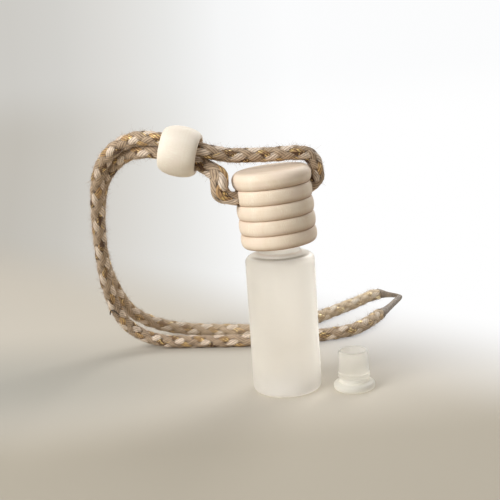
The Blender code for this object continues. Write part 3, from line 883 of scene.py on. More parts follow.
REAR_ROUTE = metres(
    (-11.7, -2.9, 63.5), (-12.1, -3, 63.4), (-13.39, -3.4, 63.57), (-14.78, -3.8, 64),
    (-16.21, -4.1, 64.8), (-17.2, -4.3, 65.96), (-17.44, -4.3, 67.25), (-17.21, -4.1, 68.42),
    (-17.07, -3.6, 69.58), (-17.43, -2.8, 70.77), (-18.57, -1.7, 71.92), (-20.68, -0.2, 73.25),
    (-24.6, 1.4, 75.1), (-34.4, 2.8, 78.1), (-36.1, 3.1, 78.9), (-41.8, 6.6, 78.9),
    (-45, 9.6, 78.3), (-48.4, 13.1, 76.7), (-52, 17.2, 73.9), (-55.3, 21.8, 70.2),
    (-57.7, 25.6, 65.9), (-59.3, 29, 61), (-60.4, 32.3, 56.2), (-61.2, 35.2, 51.6),
    (-61.8, 45.2, 33.9), (-60.6, 49.3, 27.3), (-58.2, 53.4, 19.6), (-55.1, 57.2, 13.7),
    (-49.6, 60.4, 9), (-42.4, 62.6, 5.6), (-33, 64.2, 3.3), (-22, 63.8, 2.4), (-11.4, 61, 2.4),
    (0.5, 61.6, 2.4), (9, 66.6, 2.4), (24, 81, 2.4), (32.8, 90.6, 2.4), (38.2, 97.4, 2.4),
    (41, 100.4, 2.4), (43.6, 101.6, 2.4),
)
FRONT_ARM_ROUTE = metres(
    (40.7, 71.9, 2.3), (43.6, 77.1, 2.3), (48, 85.6, 2.6), (51.2, 91.8, 3), (51.7, 93.2, 3.1),
)
REAR_ARM_ROUTE = metres(
    (45.5, 101.3, 2.4), (47.5, 99.8, 2.4), (49.8, 97.2, 2.6), (51.1, 93.8, 3), (51.4, 92.1, 3.1),
)


@dataclass
class Path:
    """A smooth line through a route's points, with a front and a side at every point."""

    points: Array
    front: Vector = field(default_factory=lambda: Vector((0.03, -0.978, 0.205)).normalized())

    @classmethod
    def through(cls, route: Sequence[Sequence[float]], spacing: float, softness: float) -> "Path":
        """The line through a route: a cubic between each two points, whose slope at each point
        leans to the nearer neighbour, then evenly spaced and softened by a bell curve.

        Args:
            route: the points, in metres.
            spacing: the distance between the line's points.
            softness: the bell curve's width, which takes the last kinks out of the bends.

        Returns:
            The line.
        """
        points = np.asarray(route, float)
        spans = np.linalg.norm(np.diff(points, axis=0), axis=1)[:, None]
        chords = np.diff(points, axis=0) / spans
        inner = (chords[1:] * spans[:-1] + chords[:-1] * spans[1:]) / (spans[:-1] + spans[1:])
        slopes = np.vstack([chords[:1], inner, chords[-1:]])
        share = (np.arange(24) / 24)[None, :, None]
        start, end, span = points[:-1, None], points[1:, None], spans[:, None]
        leaving, arriving = slopes[:-1, None] * span, slopes[1:, None] * span
        line = (
            (2 * share**3 - 3 * share**2 + 1) * start
            + (share**3 - 2 * share**2 + share) * leaving
            + (3 * share**2 - 2 * share**3) * end
            + (share**3 - share**2) * arriving
        )
        line = np.vstack([line.reshape(-1, 3), points[-1:]])
        reached = cls(line).distance()
        count = max(2, round(reached[-1] / spacing) + 1)
        even = read_at(np.linspace(0.0, reached[-1], count), reached, line)
        return cls(softened(even, spacing, softness))

    def distance(self) -> Array:
        """The distance along the line to each of its points."""
        return np.append(0.0, np.cumsum(np.linalg.norm(np.diff(self.points, axis=0), axis=1)))

    def length(self) -> float:
        """The line's length."""
        return float(self.distance()[-1])

    def axes(self) -> tuple[Array, Array, Array]:
        """Three ways at each point.

        Returns:
            Ahead, front, which is the fixed front laid square to ahead, and side.
        """
        ahead = np.gradient(self.points, axis=0)
        ahead /= np.linalg.norm(ahead, axis=1, keepdims=True)
        fixed = np.array(self.front)
        front = fixed - ahead * (ahead @ fixed)[:, None]
        front /= np.linalg.norm(front, axis=1, keepdims=True)
        return ahead, front, np.cross(ahead, front)


def softened(values: Array, spacing: float, width: float) -> Array:
    """Rows of numbers averaged with a bell curve, with both ends kept in place.

    Args:
        values: one row for each even step.
        spacing: the step.
        width: the bell curve's width, in the same unit.

    Returns:
        The averaged rows.
    """
    reach = min(max(1, math.ceil(3 * width / spacing)), len(values) - 1)
    bell = np.exp(-0.5 * (np.arange(-reach, reach + 1) * spacing / width) ** 2)
    before = 2 * values[:1] - values[reach:0:-1]
    after = 2 * values[-1:] - values[-2 : -reach - 2 : -1]
    long = np.vstack([before, values, after])
    return np.stack([np.convolve(column, bell / bell.sum(), mode="valid") for column in long.T], -1)


# ---------------------------------------------------------------- cord


@dataclass(frozen=True)
class Mark:
    """Where a gold bundle faces a known way: its distance along the strand, the repeats of the
    colours counted there, and its turn from the front in degrees."""

    distance: float
    repeats: float
    turn: float


def marks(*rows: tuple[float, float, float]) -> list[Mark]:
    """Marks from distances in millimetres, repeats and degrees."""
    return [Mark(distance * MILLIMETRE, repeats, turn) for distance, repeats, turn in rows]


def beyond(places: Array, known: Sequence[float], values: Sequence[float]) -> Array:
    """Values drawn straight between known places and on past the first and last.

    Args:
        places: where the values are wanted.
        known: the known places.
        values: the values there.

    Returns:
        One value for each place.
    """
    first = (values[1] - values[0]) / (known[1] - known[0])
    last = (values[-1] - values[-2]) / (known[-1] - known[-2])
    before = np.minimum(places - known[0], 0.0) * first
    return np.interp(places, known, values) + before + np.maximum(places - known[-1], 0.0) * last


@dataclass
class BraidedRun:
    """One stretch of the braided cord."""

    name: str
    path: Path
    marks: Sequence[Mark]
    weave: BraidWeave
    sides: int = 56
    mark_softness: float = 0.004
    swell: Sequence[Span] = ((0.0, 1.0),)

    def braid_map(self, distance: Array, turn: Array) -> tuple[Array, Array]:
        """U and V on the cord's surface.

        With A the eighths of a turn from the gold bundle and B four times the repeats, both
        drawn through the marks and softened, U is (-A - B) / 2 and V is (-A + B) / 2, so U
        follows one hand's bundles and V the other's.

        Args:
            distance: distance along the run, one for each ring.
            turn: angle round the cord, one for each column.

        Returns:
            U and V, one for each ring and column.
        """
        known = [mark.distance for mark in self.marks]
        rows = [[mark.repeats for mark in self.marks], [math.radians(mark.turn) for mark in self.marks]]
        drawn = np.stack([beyond(distance, known, row) for row in rows], -1)
        repeats, start = softened(drawn, float(distance[1] - distance[0]), self.mark_softness).T
        eighths = -8 * (turn[None, :] - start[:, None]) / (2 * np.pi)
        quarters = 4 * repeats[:, None]
        return (eighths - quarters) / 2 + 1.5, (eighths + quarters) / 2 + 0.5

    def surface(
        self, scale: Union[float, Array] = 1.0, melt: Union[float, Array] = 0.0, round_end: bool = False
    ) -> tuple[Array, list[Array], Array]:
        """The run's surface: path(s) + r(s, a) (front cos a + side sin a), with r from the weave.

        Args:
            scale: what the radius is multiplied by at each ring.
            melt: how far the weave is smoothed away at each ring, from 0 to 1.
            round_end: true for an end that closes to a rounded tip.

        Returns:
            Vertices, faces, and U and V at every corner.
        """
        distance = self.path.distance()
        _, front, side = self.path.axes()
        turn = 2 * np.pi * np.arange(self.sides + 1) / self.sides
        radius = self.weave.radius(*self.braid_map(distance, turn[:-1]))
        radius = radius + (self.weave.core_radius + self.weave.crown - radius) * melt
        radius = radius * np.interp(distance, *zip(*self.swell))[:, None] * scale
        if round_end:
            left = (distance[-1] - distance) / float(radius[-1].mean())
            radius = radius * np.sqrt(1 - (1 - left.clip(0, 1)) ** 2 * 0.98)[:, None]
        out = ways_out(front, side, self.sides)
        points = (self.path.points[:, None] + radius[..., None] * out).reshape(-1, 3)
        ends = end_fans(len(points), self.sides)
        points = np.vstack([points, self.path.points[:1], self.path.points[-1:]])
        grid = np.stack(self.braid_map(distance, turn), -1)
        body = np.stack([grid[:-1, :-1], grid[:-1, 1:], grid[1:, 1:], grid[1:, :-1]], 2).reshape(-1, 2)
        tips = [np.tile(grid[row, :-1].mean(0), (3 * self.sides, 1)) for row in (0, -1)]
        return points, [band_faces(len(distance), self.sides), *ends], np.vstack([body, *tips])

    def build(self) -> Item:
        """The run as one closed object."""
        points, faces, corners = self.surface()
        return mesh_object(self.name, points, faces, {"braid": corners})


@dataclass
class LoopedCord:
    """The braided cord: through the cap, doubled through the bead, and fused at its far end."""

    diameter: float = 0.0046
    spacing: float = 0.00028
    softness: float = 0.0007
    arm_sides: int = 40
    arm_start: Span = (0.0002, 0.0006)
    arm_length_mm: float = 11.0
    arm_turn: float = 110.0
    melt_rate: float = 1.6
    most_melted: float = 0.85
    hair_count: int = 9000
    seed: int = 7
    weave: BraidWeave = field(default_factory=BraidWeave)
    front_marks: list[Mark] = field(
        default_factory=lambda: marks(
            (7.2, -8.5, -63), (17, -7.5, -90), (27, -6.5, -77), (38, -5.5, -68), (60.5, -3.5, -74),
            (70.5, -2.5, -70), (81, -1.5, -43), (97, 0, -24), (109, 1, -24), (121, 2, -22),
            (134, 3, -20), (148.5, 4, -5), (159.5, 5, 5), (168.5, 6, 20), (181.7, 7.5, 26),
            (192, 8.5, 55), (201, 9.5, 62), (238.3, 12.5, 91), (247.9, 13.5, 91), (260.4, 14.5, 97),
            (270, 15.5, 110),
        )
    )
    rear_marks: list[Mark] = field(
        default_factory=lambda: marks(
            (5.5, -11, -8), (18.1, -10, -32), (40, -8, 20), (87, -4, 12), (134.6, 0, 8),
            (144, 1, -18), (154.8, 2, -15), (165, 3, -5), (175.8, 4, 8), (222, 8, -4), (236.7, 9, 26),
        )
    )
    # Painted light that makes the rear strand's far part paler.
    rear_painted_light: Colour = (0.235, 0.16, 0.095)
    knee_swell: tuple[Span, ...] = (
        (0.003, 1.0), (0.006, 1.22), (0.011, 1.3), (0.015, 1.12), (0.02, 1.0),
    )

    def build(self) -> None:
        """Builds the two strands, the stretch in the cap, the fused end and the loose fibres."""
        yarn = BraidYarn(self.weave)
        braid, rear_braid = yarn.material(), yarn.material(lift=self.rear_painted_light)
        fused = yarn.material(fused=True)
        front = self.strand("cord_front", FRONT_ROUTE, self.front_marks)
        rear = self.strand("cord_rear", REAR_ROUTE, self.rear_marks)
        rear.swell = self.knee_swell
        in_cap = marks((0, -10.5, -63), (10, -9.5, -63))
        inside = self.strand("cord_through_cap", [REAR_ROUTE[0], FRONT_ROUTE[0]], in_cap)
        pieces = [run.build() for run in (front, rear, inside)]
        nodes = ("cord_front_strand", "cord_rear_strand", "cord_in_cap")
        for piece, node, finish in zip(pieces, nodes, (braid, rear_braid, braid)):
            ride(piece, finish, Body.CAP, Slot.BRAID, node)
        tip = self.fused_end()
        ride(tip, fused, Body.CAP, Slot.FUSED, "cord_join")
        for name, run, seed in (("front", front, self.seed), ("rear", rear, self.seed + 1)):
            LooseFibres(f"cord_{name}_loose_fibres", self.hair_count, seed).build(run.path)
        StrayThread().build()
        front.path.length()
        rear.path.length()

    def strand(self, name: str, route: Sequence[Place], colour_marks: Sequence[Mark]) -> BraidedRun:
        """One strand along its route."""
        path = Path.through(route, self.spacing, self.softness)
        return BraidedRun(name, path, colour_marks, self.weave)

    def fused_end(self) -> Item:
        """Both arms of the fused end, each thinner and smoother towards the tip.

        An arm sets out the way its strand ends; its shares of the full radius are evenly
        spaced, and its colours go on from the strand's last repeat.

        Returns:
            The piece.
        """
        arms = []
        for route, arm, shares, repeat in (
            (FRONT_ROUTE, FRONT_ARM_ROUTE, (1.0, 0.66, 0.56, 0.54, 0.48), 15.6),
            (REAR_ROUTE, REAR_ARM_ROUTE, (1.0, 0.6, 0.45, 0.4, 0.38), 10.2),
        ):
            end, before = np.array(route[-1]), np.array(route[-2])
            heading = (end - before) / np.linalg.norm(end - before)
            start = [end + step * heading for step in self.arm_start]
            path = Path.through([*start, *arm], self.spacing, self.softness)
            turned = marks((0, repeat, self.arm_turn), (self.arm_length_mm, repeat + 1, self.arm_turn))
            run = BraidedRun("arm", path, turned, self.weave, sides=self.arm_sides)
            share = np.linspace(0.0, 1.0, len(path.points))[:, None]
            scale = np.interp(share * (len(shares) - 1), np.arange(len(shares)), shares)
            melt = np.clip(share * self.melt_rate, 0.0, self.most_melted)
            arms.append(run.surface(scale, melt, round_end=True))
        (first, first_faces, first_map), (second, second_faces, second_map) = arms
        faces = [*first_faces, *[block + len(first) for block in second_faces]]
        corners = np.vstack([first_map, second_map])
        return mesh_object("cord_fused_end", np.vstack([first, second]), faces, {"braid": corners})


@dataclass
class LooseFibres:
    """Short hairs that stand off a strand's yarn, and a few longer ends, clear of the bead."""

    name: str
    count: int
    seed: int
    root_radius: float = 0.00205
    thickness: float = 0.000032
    bare_centre: Place = (-0.0296, 0.0011, 0.0789)
    bare_radius: float = 0.0088
    bare_start: float = 0.003
    lift: Span = (0.3, 1.3)
    forward: float = 0.7
    slant: float = 0.9
    curl: float = 0.4
    length_shape: float = 3.0
    length_scale: float = 0.00036
    length_span: Span = (0.0004, 0.0035)
    taper: float = 0.75
    rings: int = 4
    sides: int = 3
    dark: Colour = (0.34, 0.25, 0.175)
    pale: Colour = (0.66, 0.53, 0.41)

    def build(self, path: Path) -> None:
        """Builds the hairs along a strand's path and dresses them.

        Each hair is root + length (t d + t^2 c / 2), with d its heading and c its curl, as a
        thin tube that narrows towards its end.

        Args:
            path: the strand's line.
        """
        rng = np.random.default_rng(self.seed)
        ahead, front, side = path.axes()
        free = np.linalg.norm(path.points - np.array(self.bare_centre), axis=1) > self.bare_radius
        free &= path.distance() > self.bare_start
        index = rng.choice(np.flatnonzero(free), self.count)
        turn = rng.uniform(0, 2 * np.pi, self.count)[:, None]
        out = front[index] * np.cos(turn) + side[index] * np.sin(turn)
        round_way = side[index] * np.cos(turn) - front[index] * np.sin(turn)
        slant = rng.uniform(-self.slant, self.slant, (self.count, 1))
        way = np.where(rng.uniform(size=(self.count, 1)) < 0.5, -1.0, 1.0)
        heading = rng.uniform(*self.lift, (self.count, 1)) * out
        heading = heading + self.forward * way * ahead[index] + slant * round_way
        heading /= np.linalg.norm(heading, axis=1, keepdims=True)
        curl = rng.normal(0, self.curl, (self.count, 3))[:, None]
        length = rng.gamma(self.length_shape, self.length_scale, (self.count, 1)).clip(*self.length_span)
        root = path.points[index] + self.root_radius * out
        share = np.linspace(0.0, 1.0, self.rings)[None, :, None]
        lines = root[:, None] + length[:, None] * (share * heading[:, None] + share**2 * curl * 0.5)
        lines[..., 2] = np.maximum(lines[..., 2], self.thickness)
        aside = np.where(np.abs(heading[:, 2:]) < 0.8, [[0.0, 0.0, 1.0]], [[1.0, 0.0, 0.0]])
        across = np.cross(heading, aside)
        across /= np.linalg.norm(across, axis=1, keepdims=True)
        ring = ways_out(across, np.cross(heading, across), self.sides)[:, None]
        points = lines[:, :, None] + self.thickness * (1 - self.taper * share[..., None]) * ring
        first = (np.arange(self.count) * self.rings * self.sides)[:, None, None]
        blocks = tube_faces(self.rings, self.sides)
        faces = [(block[None] + first).reshape(-1, block.shape[1]) for block in blocks]
        hairs = mesh_object(self.name, points.reshape(-1, 3), faces)
        graph = Graph("loose_fibres")
        colour = graph.mix(graph.noise(graph.local(), 0.8, 1.0).smooth(0.4, 0.6), self.dark, self.pale)
        finish = graph.done(graph.shader(Base_Color=colour, Roughness=0.9))
        ride(hairs, finish, Body.CAP, Slot.BRAID)


@dataclass
class StrayThread:
    """A dark thread's end that hooks out of the front strand's outer side."""

    route: list[Place] = field(
        default_factory=lambda: metres(
            (-58.60, 45.50, 15.90), (-59.85, 45.00, 17.35), (-60.85, 45.05, 18.00),
            (-61.65, 45.55, 17.55), (-62.08, 46.50, 15.90),
        )
    )
    spacing: float = 0.0002
    softness: float = 0.0003
    radius: float = 0.00025
    sides: int = 10
    dark: Colour = (0.035, 0.025, 0.018)
    pale: Colour = (0.11, 0.08, 0.055)

    def build(self) -> None:
        """Builds and dresses a tube whose radius is r (1 - s^6)^0.5, with s from -1 to 1."""
        path = Path.through(self.route, self.spacing, self.softness)
        _, front, side = path.axes()
        share = np.linspace(-0.98, 0.98, len(path.points))[:, None, None]
        ring = self.radius * np.sqrt(1 - share**6) * ways_out(front, side, self.sides)
        points = (path.points[:, None] + ring).reshape(-1, 3)
        item = mesh_object("cord_stray_thread", points, tube_faces(len(share), self.sides))
        graph = Graph("dark_thread")
        colour = graph.mix(graph.noise(graph.local(), 4.0, 2.0), self.dark, self.pale)
        finish = graph.done(graph.shader(Base_Color=colour, Roughness=0.8))
        ride(item, finish, Body.CAP, Slot.BRAID)


# ---------------------------------------------------------------- vial


@dataclass
class GlassVial:
    """The frosted vial, with its shoulder, its threaded neck and its thick floor."""

    radius: float = 0.011
    wall: float = 0.0015
    floor: float = 0.0024
    base_round: float = 0.00167
    inner_round: float = 0.0015
    shoulder_height: float = 0.0445
    shoulder_round: float = 0.0022
    shoulder_thickness: float = 0.0015
    shoulder_slope: float = 12.0
    neck_radius: float = 0.0066
    neck_bore_radius: float = 0.0049
    neck_height: float = 0.0111
    neck_root_round: float = 0.0011
    neck_rim_round: float = 0.0005
    thread_pitch: float = 0.003
    thread_turns: float = 1.5
    thread_rise: float = 0.0041
    thread_depth: float = 0.00075
    thread_root: float = 0.0011
    thread_crest: float = 0.0005
    thread_step: float = 0.0001
    longest_step: float = 0.0008
    segments: int = 160

    def outline(self) -> Array:
        """The glass from the middle of its base, up its outside and down its inside.

        Returns:
            Points (radius, height).
        """
        slope = math.radians(self.shoulder_slope)
        rim = self.shoulder_height + self.neck_height
        top = self.shoulder_height - self.shoulder_thickness
        edge, root, inner = self.neck_rim_round, self.neck_root_round, self.inner_round
        bore, wall = self.neck_bore_radius + edge, self.radius - self.wall - inner
        centre = (self.radius - self.shoulder_round, self.shoulder_height - self.shoulder_round)
        shoulder = arc(centre, self.shoulder_round, 0, 90 - self.shoulder_slope, 12)
        run = shoulder[-1, 0] - self.neck_radius - root * (1 - math.sin(slope))
        rise = shoulder[-1, 1] + run * math.tan(slope) + root * math.cos(slope)
        parts = [
            [(0.0, 0.0)],
            arc((self.radius - self.base_round, self.base_round), self.base_round, -90, 0, 10),
            shoulder,
            arc((self.neck_radius + root, rise), root, 270 - self.shoulder_slope, 180, 8),
            arc((self.neck_radius - edge, rim - edge), edge, 0, 90, 6),
            arc((bore, rim - edge), edge, 90, 180, 6),
            arc((bore, top + edge), edge, 180, 270, 4),
            arc((wall, top - inner), inner, 90, 0, 8),
            arc((wall, self.floor + inner), inner, 0, -90, 8),
            [(0.0, self.floor)],
        ]
        return filled(np.vstack(parts), self.longest_step)

    def thread(self, outline: Array) -> Array:
        """How far the thread's ridge stands out at each outline point and angle.

        Over the neck, the height above the nearest turn of the helix gives the ridge: full
        depth within half its crest and none past half its root, with both ends faded out.

        Args:
            outline: the vial's outline.

        Returns:
            The ridge's height.
        """
        radius, turn, height = turned_grid(outline, self.segments)
        swell = np.zeros_like(radius)
        for lap in range(math.ceil(self.thread_turns)):
            run = turn / (2 * np.pi) + lap
            off = np.abs(height - self.shoulder_height - self.thread_rise - self.thread_pitch * run)
            ridge = (self.thread_root / 2 - off) / ((self.thread_root - self.thread_crest) / 2)
            fade = np.clip(np.minimum(run, self.thread_turns - run) * 8, 0, 1)
            swell = np.maximum(swell, ridge.clip(0, 1) * np.sin(fade * np.pi / 2))
        above = height > self.shoulder_height + self.neck_root_round
        return swell * self.thread_depth * (above & (radius > self.neck_radius - 1e-6))

    def build(self) -> None:
        """Builds the glass, with short steps where the thread runs, and dresses it."""
        rough = self.outline()
        neck = (rough[:, 0] < self.neck_radius + 1e-6) & (rough[:, 0] > self.neck_bore_radius + 0.001)
        outline = filled(rough, np.where(neck[:-1] & neck[1:], self.thread_step, np.inf))
        upright = Matrix.Identity(4)
        vial = turned_piece("vial_glass", outline, self.segments, upright, self.thread(outline))
        finish = MilkyWall(
            name="frosted_glass",
            centre=ORIGIN,
            milk=(0.835, 0.797, 0.73),
            # Painted light: a paler milk on the right, and a paler pink neck.
            painted_light_milk=(0.99, 0.957, 0.905),
            neck_painted_light_milk=(0.97, 0.885, 0.81),
            clear=(0.968, 0.945, 0.90),
            roughness=0.6,
            lamp_share=0.62,
            bore=Haze(0.05, 0.5),
            side=Haze(0.5, 0.84),
            foot=Haze(0.95, 0.5),
            shoulder=Haze(0.8, 0.5),
            neck=Haze(0.1, 0.9),
            floor_level=1.2,
            foot_level=14.0,
            shoulder_low=44.25,
            neck_low=45.3,
            bore_radius=10.25,
            neck_bore_radius=5.75,
            neck_roughness=0.4,
        )
        ride(vial, finish.material(), Body.VIAL, Slot.GLASS, "vial")


# ---------------------------------------------------------------- cap


@dataclass
class WoodenCap:
    """The turned cap: five rounded rings, a socket below, and a hole across for the cord."""

    lean: float = 4.0
    cross_height: float = 0.053
    foot: float = -0.00512
    ring_levels: tuple[float, ...] = (0.0, 0.00453, 0.00927, 0.01401, 0.01875, 0.024)
    ring_radii: tuple[float, ...] = (0.01208, 0.01213, 0.01218, 0.01223, 0.0125)
    groove_radius: float = 0.0114
    foot_radius: float = 0.0109
    top_radius: float = 0.0099
    fullness: float = 2.0
    socket_radius: float = 0.0092
    socket_depth: float = 0.0127
    socket_edge: float = 0.0003
    bore_radius: float = 0.0026
    bore_height: float = 0.01638
    bore_turn: float = 15.0
    drill_reach: float = 0.02
    waves: tuple[Place, ...] = ((0.00003, 3.0, 90.0), (0.00002, 7.0, -400.0))
    longest_step: float = 0.0009
    segments: int = 176

    def place(self) -> Matrix:
        """The cap's leaning axis, from its foot."""
        crossing, foot = (Matrix.Translation((0.0, 0.0, z)) for z in (self.cross_height, self.foot))
        return crossing @ Matrix.Rotation(-math.radians(self.lean), 4, "Y") @ foot

    def outline(self) -> Array:
        """The wood from its socket's ceiling, down the socket and up over the rings.

        Returns:
            Points (radius, height).
        """
        edge = self.socket_edge
        parts = [
            [(0.0, self.socket_depth)],
            arc((self.socket_radius - edge, self.socket_depth - edge), edge, 90, 0, 3),
            arc((self.socket_radius + edge, edge), edge, 180, 270, 4),
        ]
        grooves = [self.foot_radius, *[self.groove_radius] * 4, self.top_radius]
        share, swell = bulge(32, self.fullness)
        for index, radius in enumerate(self.ring_radii):
            low, high = self.ring_levels[index], self.ring_levels[index + 1]
            side = np.where(share < 0, grooves[index], grooves[index + 1])
            height = (low + high) / 2 + share * (high - low) / 2
            ring = np.stack([side + (radius - side) * swell, height], -1)
            parts.append(ring[min(index, 1) :])
        parts.append([(0.0, self.ring_levels[-1])])
        return filled(np.vstack(parts), self.longest_step)

    def build(self) -> None:
        """Builds the cap, drills it and dresses it.

        Its outside is a hair uneven: each wave adds size sin(turns a + climb h) at the angle a
        and the height h.
        """
        outline = self.outline()
        radius, turn, height = turned_grid(outline, self.segments)
        uneven = sum(size * np.sin(turns * turn + climb * height) for size, turns, climb in self.waves)
        swell = uneven * (radius > self.groove_radius - 0.0002)
        cap = turned_piece("cap_wood_turned", outline, self.segments, self.place(), swell)
        self.drill(cap)
        finish = TurnedWood(
            name="cap_wood",
            centre=tuple(self.place().translation),
            turn=tuple(self.place().to_euler()),
            light=(0.90, 0.77, 0.61),
            dark=(0.83, 0.665, 0.49),
            rosy=(0.88, 0.715, 0.57),
            groove_shade=(0.41, 0.235, 0.13),
            groove_radius=11.42,
            ridge_radius=11.85,
            painted_shade_top=21.0,
            face_level=23.98,
            first_ring=4.53,
            ring_pitch=4.74,
            fleck=0.35,
            shade=0.5,
        )
        ride(cap, finish.material(), Body.CAP, Slot.CAP_WOOD, "wooden_cap")

    def drill(self, cap: Item) -> None:
        """Cuts the cord's hole across the cap.

        Args:
            cap: the turned cap.
        """
        radius, reach = self.bore_radius, self.drill_reach
        ends = np.array([(0.0, -reach), (radius, -reach), (radius, reach), (0.0, reach)])
        level = self.place() @ Matrix.Translation((0.0, 0.0, self.bore_height))
        turned = level @ Matrix.Rotation(math.radians(self.bore_turn), 4, "Z")
        drill = turned_piece("drill", ends, 48, turned @ Matrix.Rotation(math.pi / 2, 4, "Y"))
        cut = cap.modifiers.new("cord_hole", "BOOLEAN")
        cut.operation = "DIFFERENCE"
        cut.solver = "EXACT"
        cut.object = drill
        bpy.context.view_layer.update()
        bored = bpy.data.meshes.new_from_object(cap.evaluated_get(bpy.context.evaluated_depsgraph_get()))
        cap.modifiers.clear()
        cap.data = bored
        bpy.data.objects.remove(drill, do_unlink=True)
        cap.data.shade_smooth()
        cap.data.set_sharp_from_angle(angle=math.radians(SHARP_DEGREES))


# ---------------------------------------------------------------- bead


@dataclass
class BarrelBead:
    """The wooden barrel bead on the two strands."""

    centre: Place = (-0.0288, 0.001, 0.0787)
    dip: float = 14.0
    yaw: float = 8.0
    length: float = 0.0118
    radius: float = 0.0079
    end_radius: float = 0.0056
    hole_radius: float = 0.00515
    hole_round: float = 0.0004
    fullness: float = 2.0
    longest_step: float = 0.0006
    segments: int = 128

    def place(self) -> Matrix:
        """The bead's axis, along the cord from the cap towards the arc.

        Returns:
            The matrix.
        """
        dip, yaw = math.radians(self.dip), math.radians(self.yaw)
        along = Vector((-math.cos(dip) * math.cos(yaw), math.cos(dip) * math.sin(yaw), math.sin(dip)))
        return Matrix.Translation(self.centre) @ along.to_track_quat("Z", "Y").to_matrix().to_4x4()

    def build(self) -> None:
        """Builds the bead and dresses it."""
        half, edge = self.length / 2, self.hole_round
        share, swell = bulge(48, self.fullness)
        side = np.stack([self.end_radius + (self.radius - self.end_radius) * swell, half * share], -1)
        hole = self.hole_radius + edge
        ends = [arc((hole, half - edge), edge, 90, 180, 6), arc((hole, edge - half), edge, 180, 270, 6)]
        closed = filled(np.vstack([side, *ends, side[:1]]), self.longest_step)[:-1]
        bead = turned_piece("bead_wood_turned", closed, self.segments, self.place(), loop=True)
        finish = TurnedWood(
            name="bead_wood",
            centre=self.centre,
            turn=tuple(self.place().to_euler()),
            light=(0.92, 0.83, 0.70),
            dark=(0.85, 0.745, 0.60),
            rosy=(0.90, 0.785, 0.66),
            groove_shade=(0.55, 0.42, 0.28),
            groove_radius=5.0,
            ridge_radius=5.4,
            painted_shade_top=9.0,
            face_level=20.0,
            first_ring=-20.0,
            ring_pitch=40.0,
            fleck=0.25,
            shade=0.0,
        )
        ride(bead, finish.material(), Body.BEAD, Slot.BEAD_WOOD, "bead")


# ---------------------------------------------------------------- stopper


@dataclass
class InnerStopper:
    """The hollow stopper, upside down on its flange."""

    place: Place = (0.0212, -0.0048, 0.0)
    height: float = 0.01265
    flange_radius: float = 0.0066
    flange_thickness: float = 0.0024
    flange_round: float = 0.001
    low_radius: float = 0.0049
    top_radius: float = 0.00465
    wall: float = 0.00075
    end_thickness: float = 0.0012
    end_round: float = 0.0004
    rim_round: float = 0.0003
    lip_round: float = 0.0001
    rib_rise: float = 0.0032
    rib_spacing: float = 0.0011
    rib_count: int = 3
    rib_depth: float = 0.00022
    rib_width: float = 0.0007
    longest_step: float = 0.0006
    segments: int = 128

    def wall_radius(self, height: Array) -> Array:
        """Outer radius of the tapered tube, with a rounded rib at each rib's height.

        Args:
            height: heights above the table.

        Returns:
            The radius at each.
        """
        share = (height - self.flange_thickness) / (self.height - self.flange_thickness)
        radius = self.low_radius + (self.top_radius - self.low_radius) * share
        for index in range(self.rib_count):
            off = (height - self.rib_rise - index * self.rib_spacing) / (self.rib_width / 2)
            radius = radius + self.rib_depth * np.cos(off.clip(-1, 1) * np.pi / 2) ** 2
        return radius

    def outline(self) -> Array:
        """The plastic from the middle of its flat end, over the flange, up the tube and inside.

        Returns:
            Points (radius, height).
        """
        edge, rim, lip = self.flange_round, self.rim_round, self.lip_round
        flange = self.flange_radius - edge
        height = np.linspace(self.flange_thickness + 0.0002, self.height - rim, 90)
        inside = self.low_radius - self.wall - self.end_round
        parts = [
            [(0.0, 0.0)],
            arc((flange, edge), edge, -90, 0, 6),
            arc((flange, self.flange_thickness - edge), edge, 0, 90, 6),
            np.stack([self.wall_radius(height), height], -1),
            arc((self.top_radius - rim, self.height - rim), rim, 0, 90, 5),
            arc((self.top_radius - self.wall + lip, self.height - lip), lip, 90, 180, 2),
            arc((inside, self.end_thickness + self.end_round), self.end_round, 0, -90, 4),
            [(0.0, self.end_thickness)],
        ]
        return filled(np.vstack(parts), self.longest_step)

    def build(self) -> None:
        """Builds the stopper and dresses it."""
        place = Matrix.Translation(self.place)
        stopper = turned_piece("stopper_moulded", self.outline(), self.segments, place)
        finish = MilkyWall(
            name="stopper_plastic",
            centre=self.place,
            milk=(0.925, 0.895, 0.82),
            neck_painted_light_milk=(0.925, 0.895, 0.82),
            clear=(0.99, 0.98, 0.955),
            roughness=0.3,
            lamp_share=0.6,
            bore=Haze(0.1, 0.5),
            side=Haze(0.2, 0.6),
            foot=Haze(0.97, 0.5),
            shoulder=Haze(0.3, 0.5),
            neck=Haze(0.3, 0.5),
            floor_level=2.4,
            foot_level=5.0,
            shoulder_low=20.0,
            neck_low=21.0,
            bore_radius=4.3,
            neck_bore_radius=4.3,
            neck_roughness=0.3,
            index=1.25,
        )
        ride(stopper, finish.material(), Body.STOPPER, Slot.STOPPER, "stopper")


@dataclass
class CapLining:
    """The threaded insert and the sealing liner in the cap, whose solids are shown as they are."""

    insert: MouldedPlastic = MouldedPlastic("insert_plastic", (0.78, 0.77, 0.74), 0.4, 0.00001, 1.5)
    liner: MouldedPlastic = MouldedPlastic("liner_foam", (0.84, 0.83, 0.80), 0.8, 0.00006, 4.0)

    def dress(self) -> None:
        """Gives both solids their finish."""
        for node, finish in (("thread_insert", self.insert), ("cap_liner", self.liner)):
            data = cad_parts[node].data
            data.materials.clear()
            data.materials.append(finish.material())
            LOG.info("%s: dressed", node)


# ---------------------------------------------------------------- studio


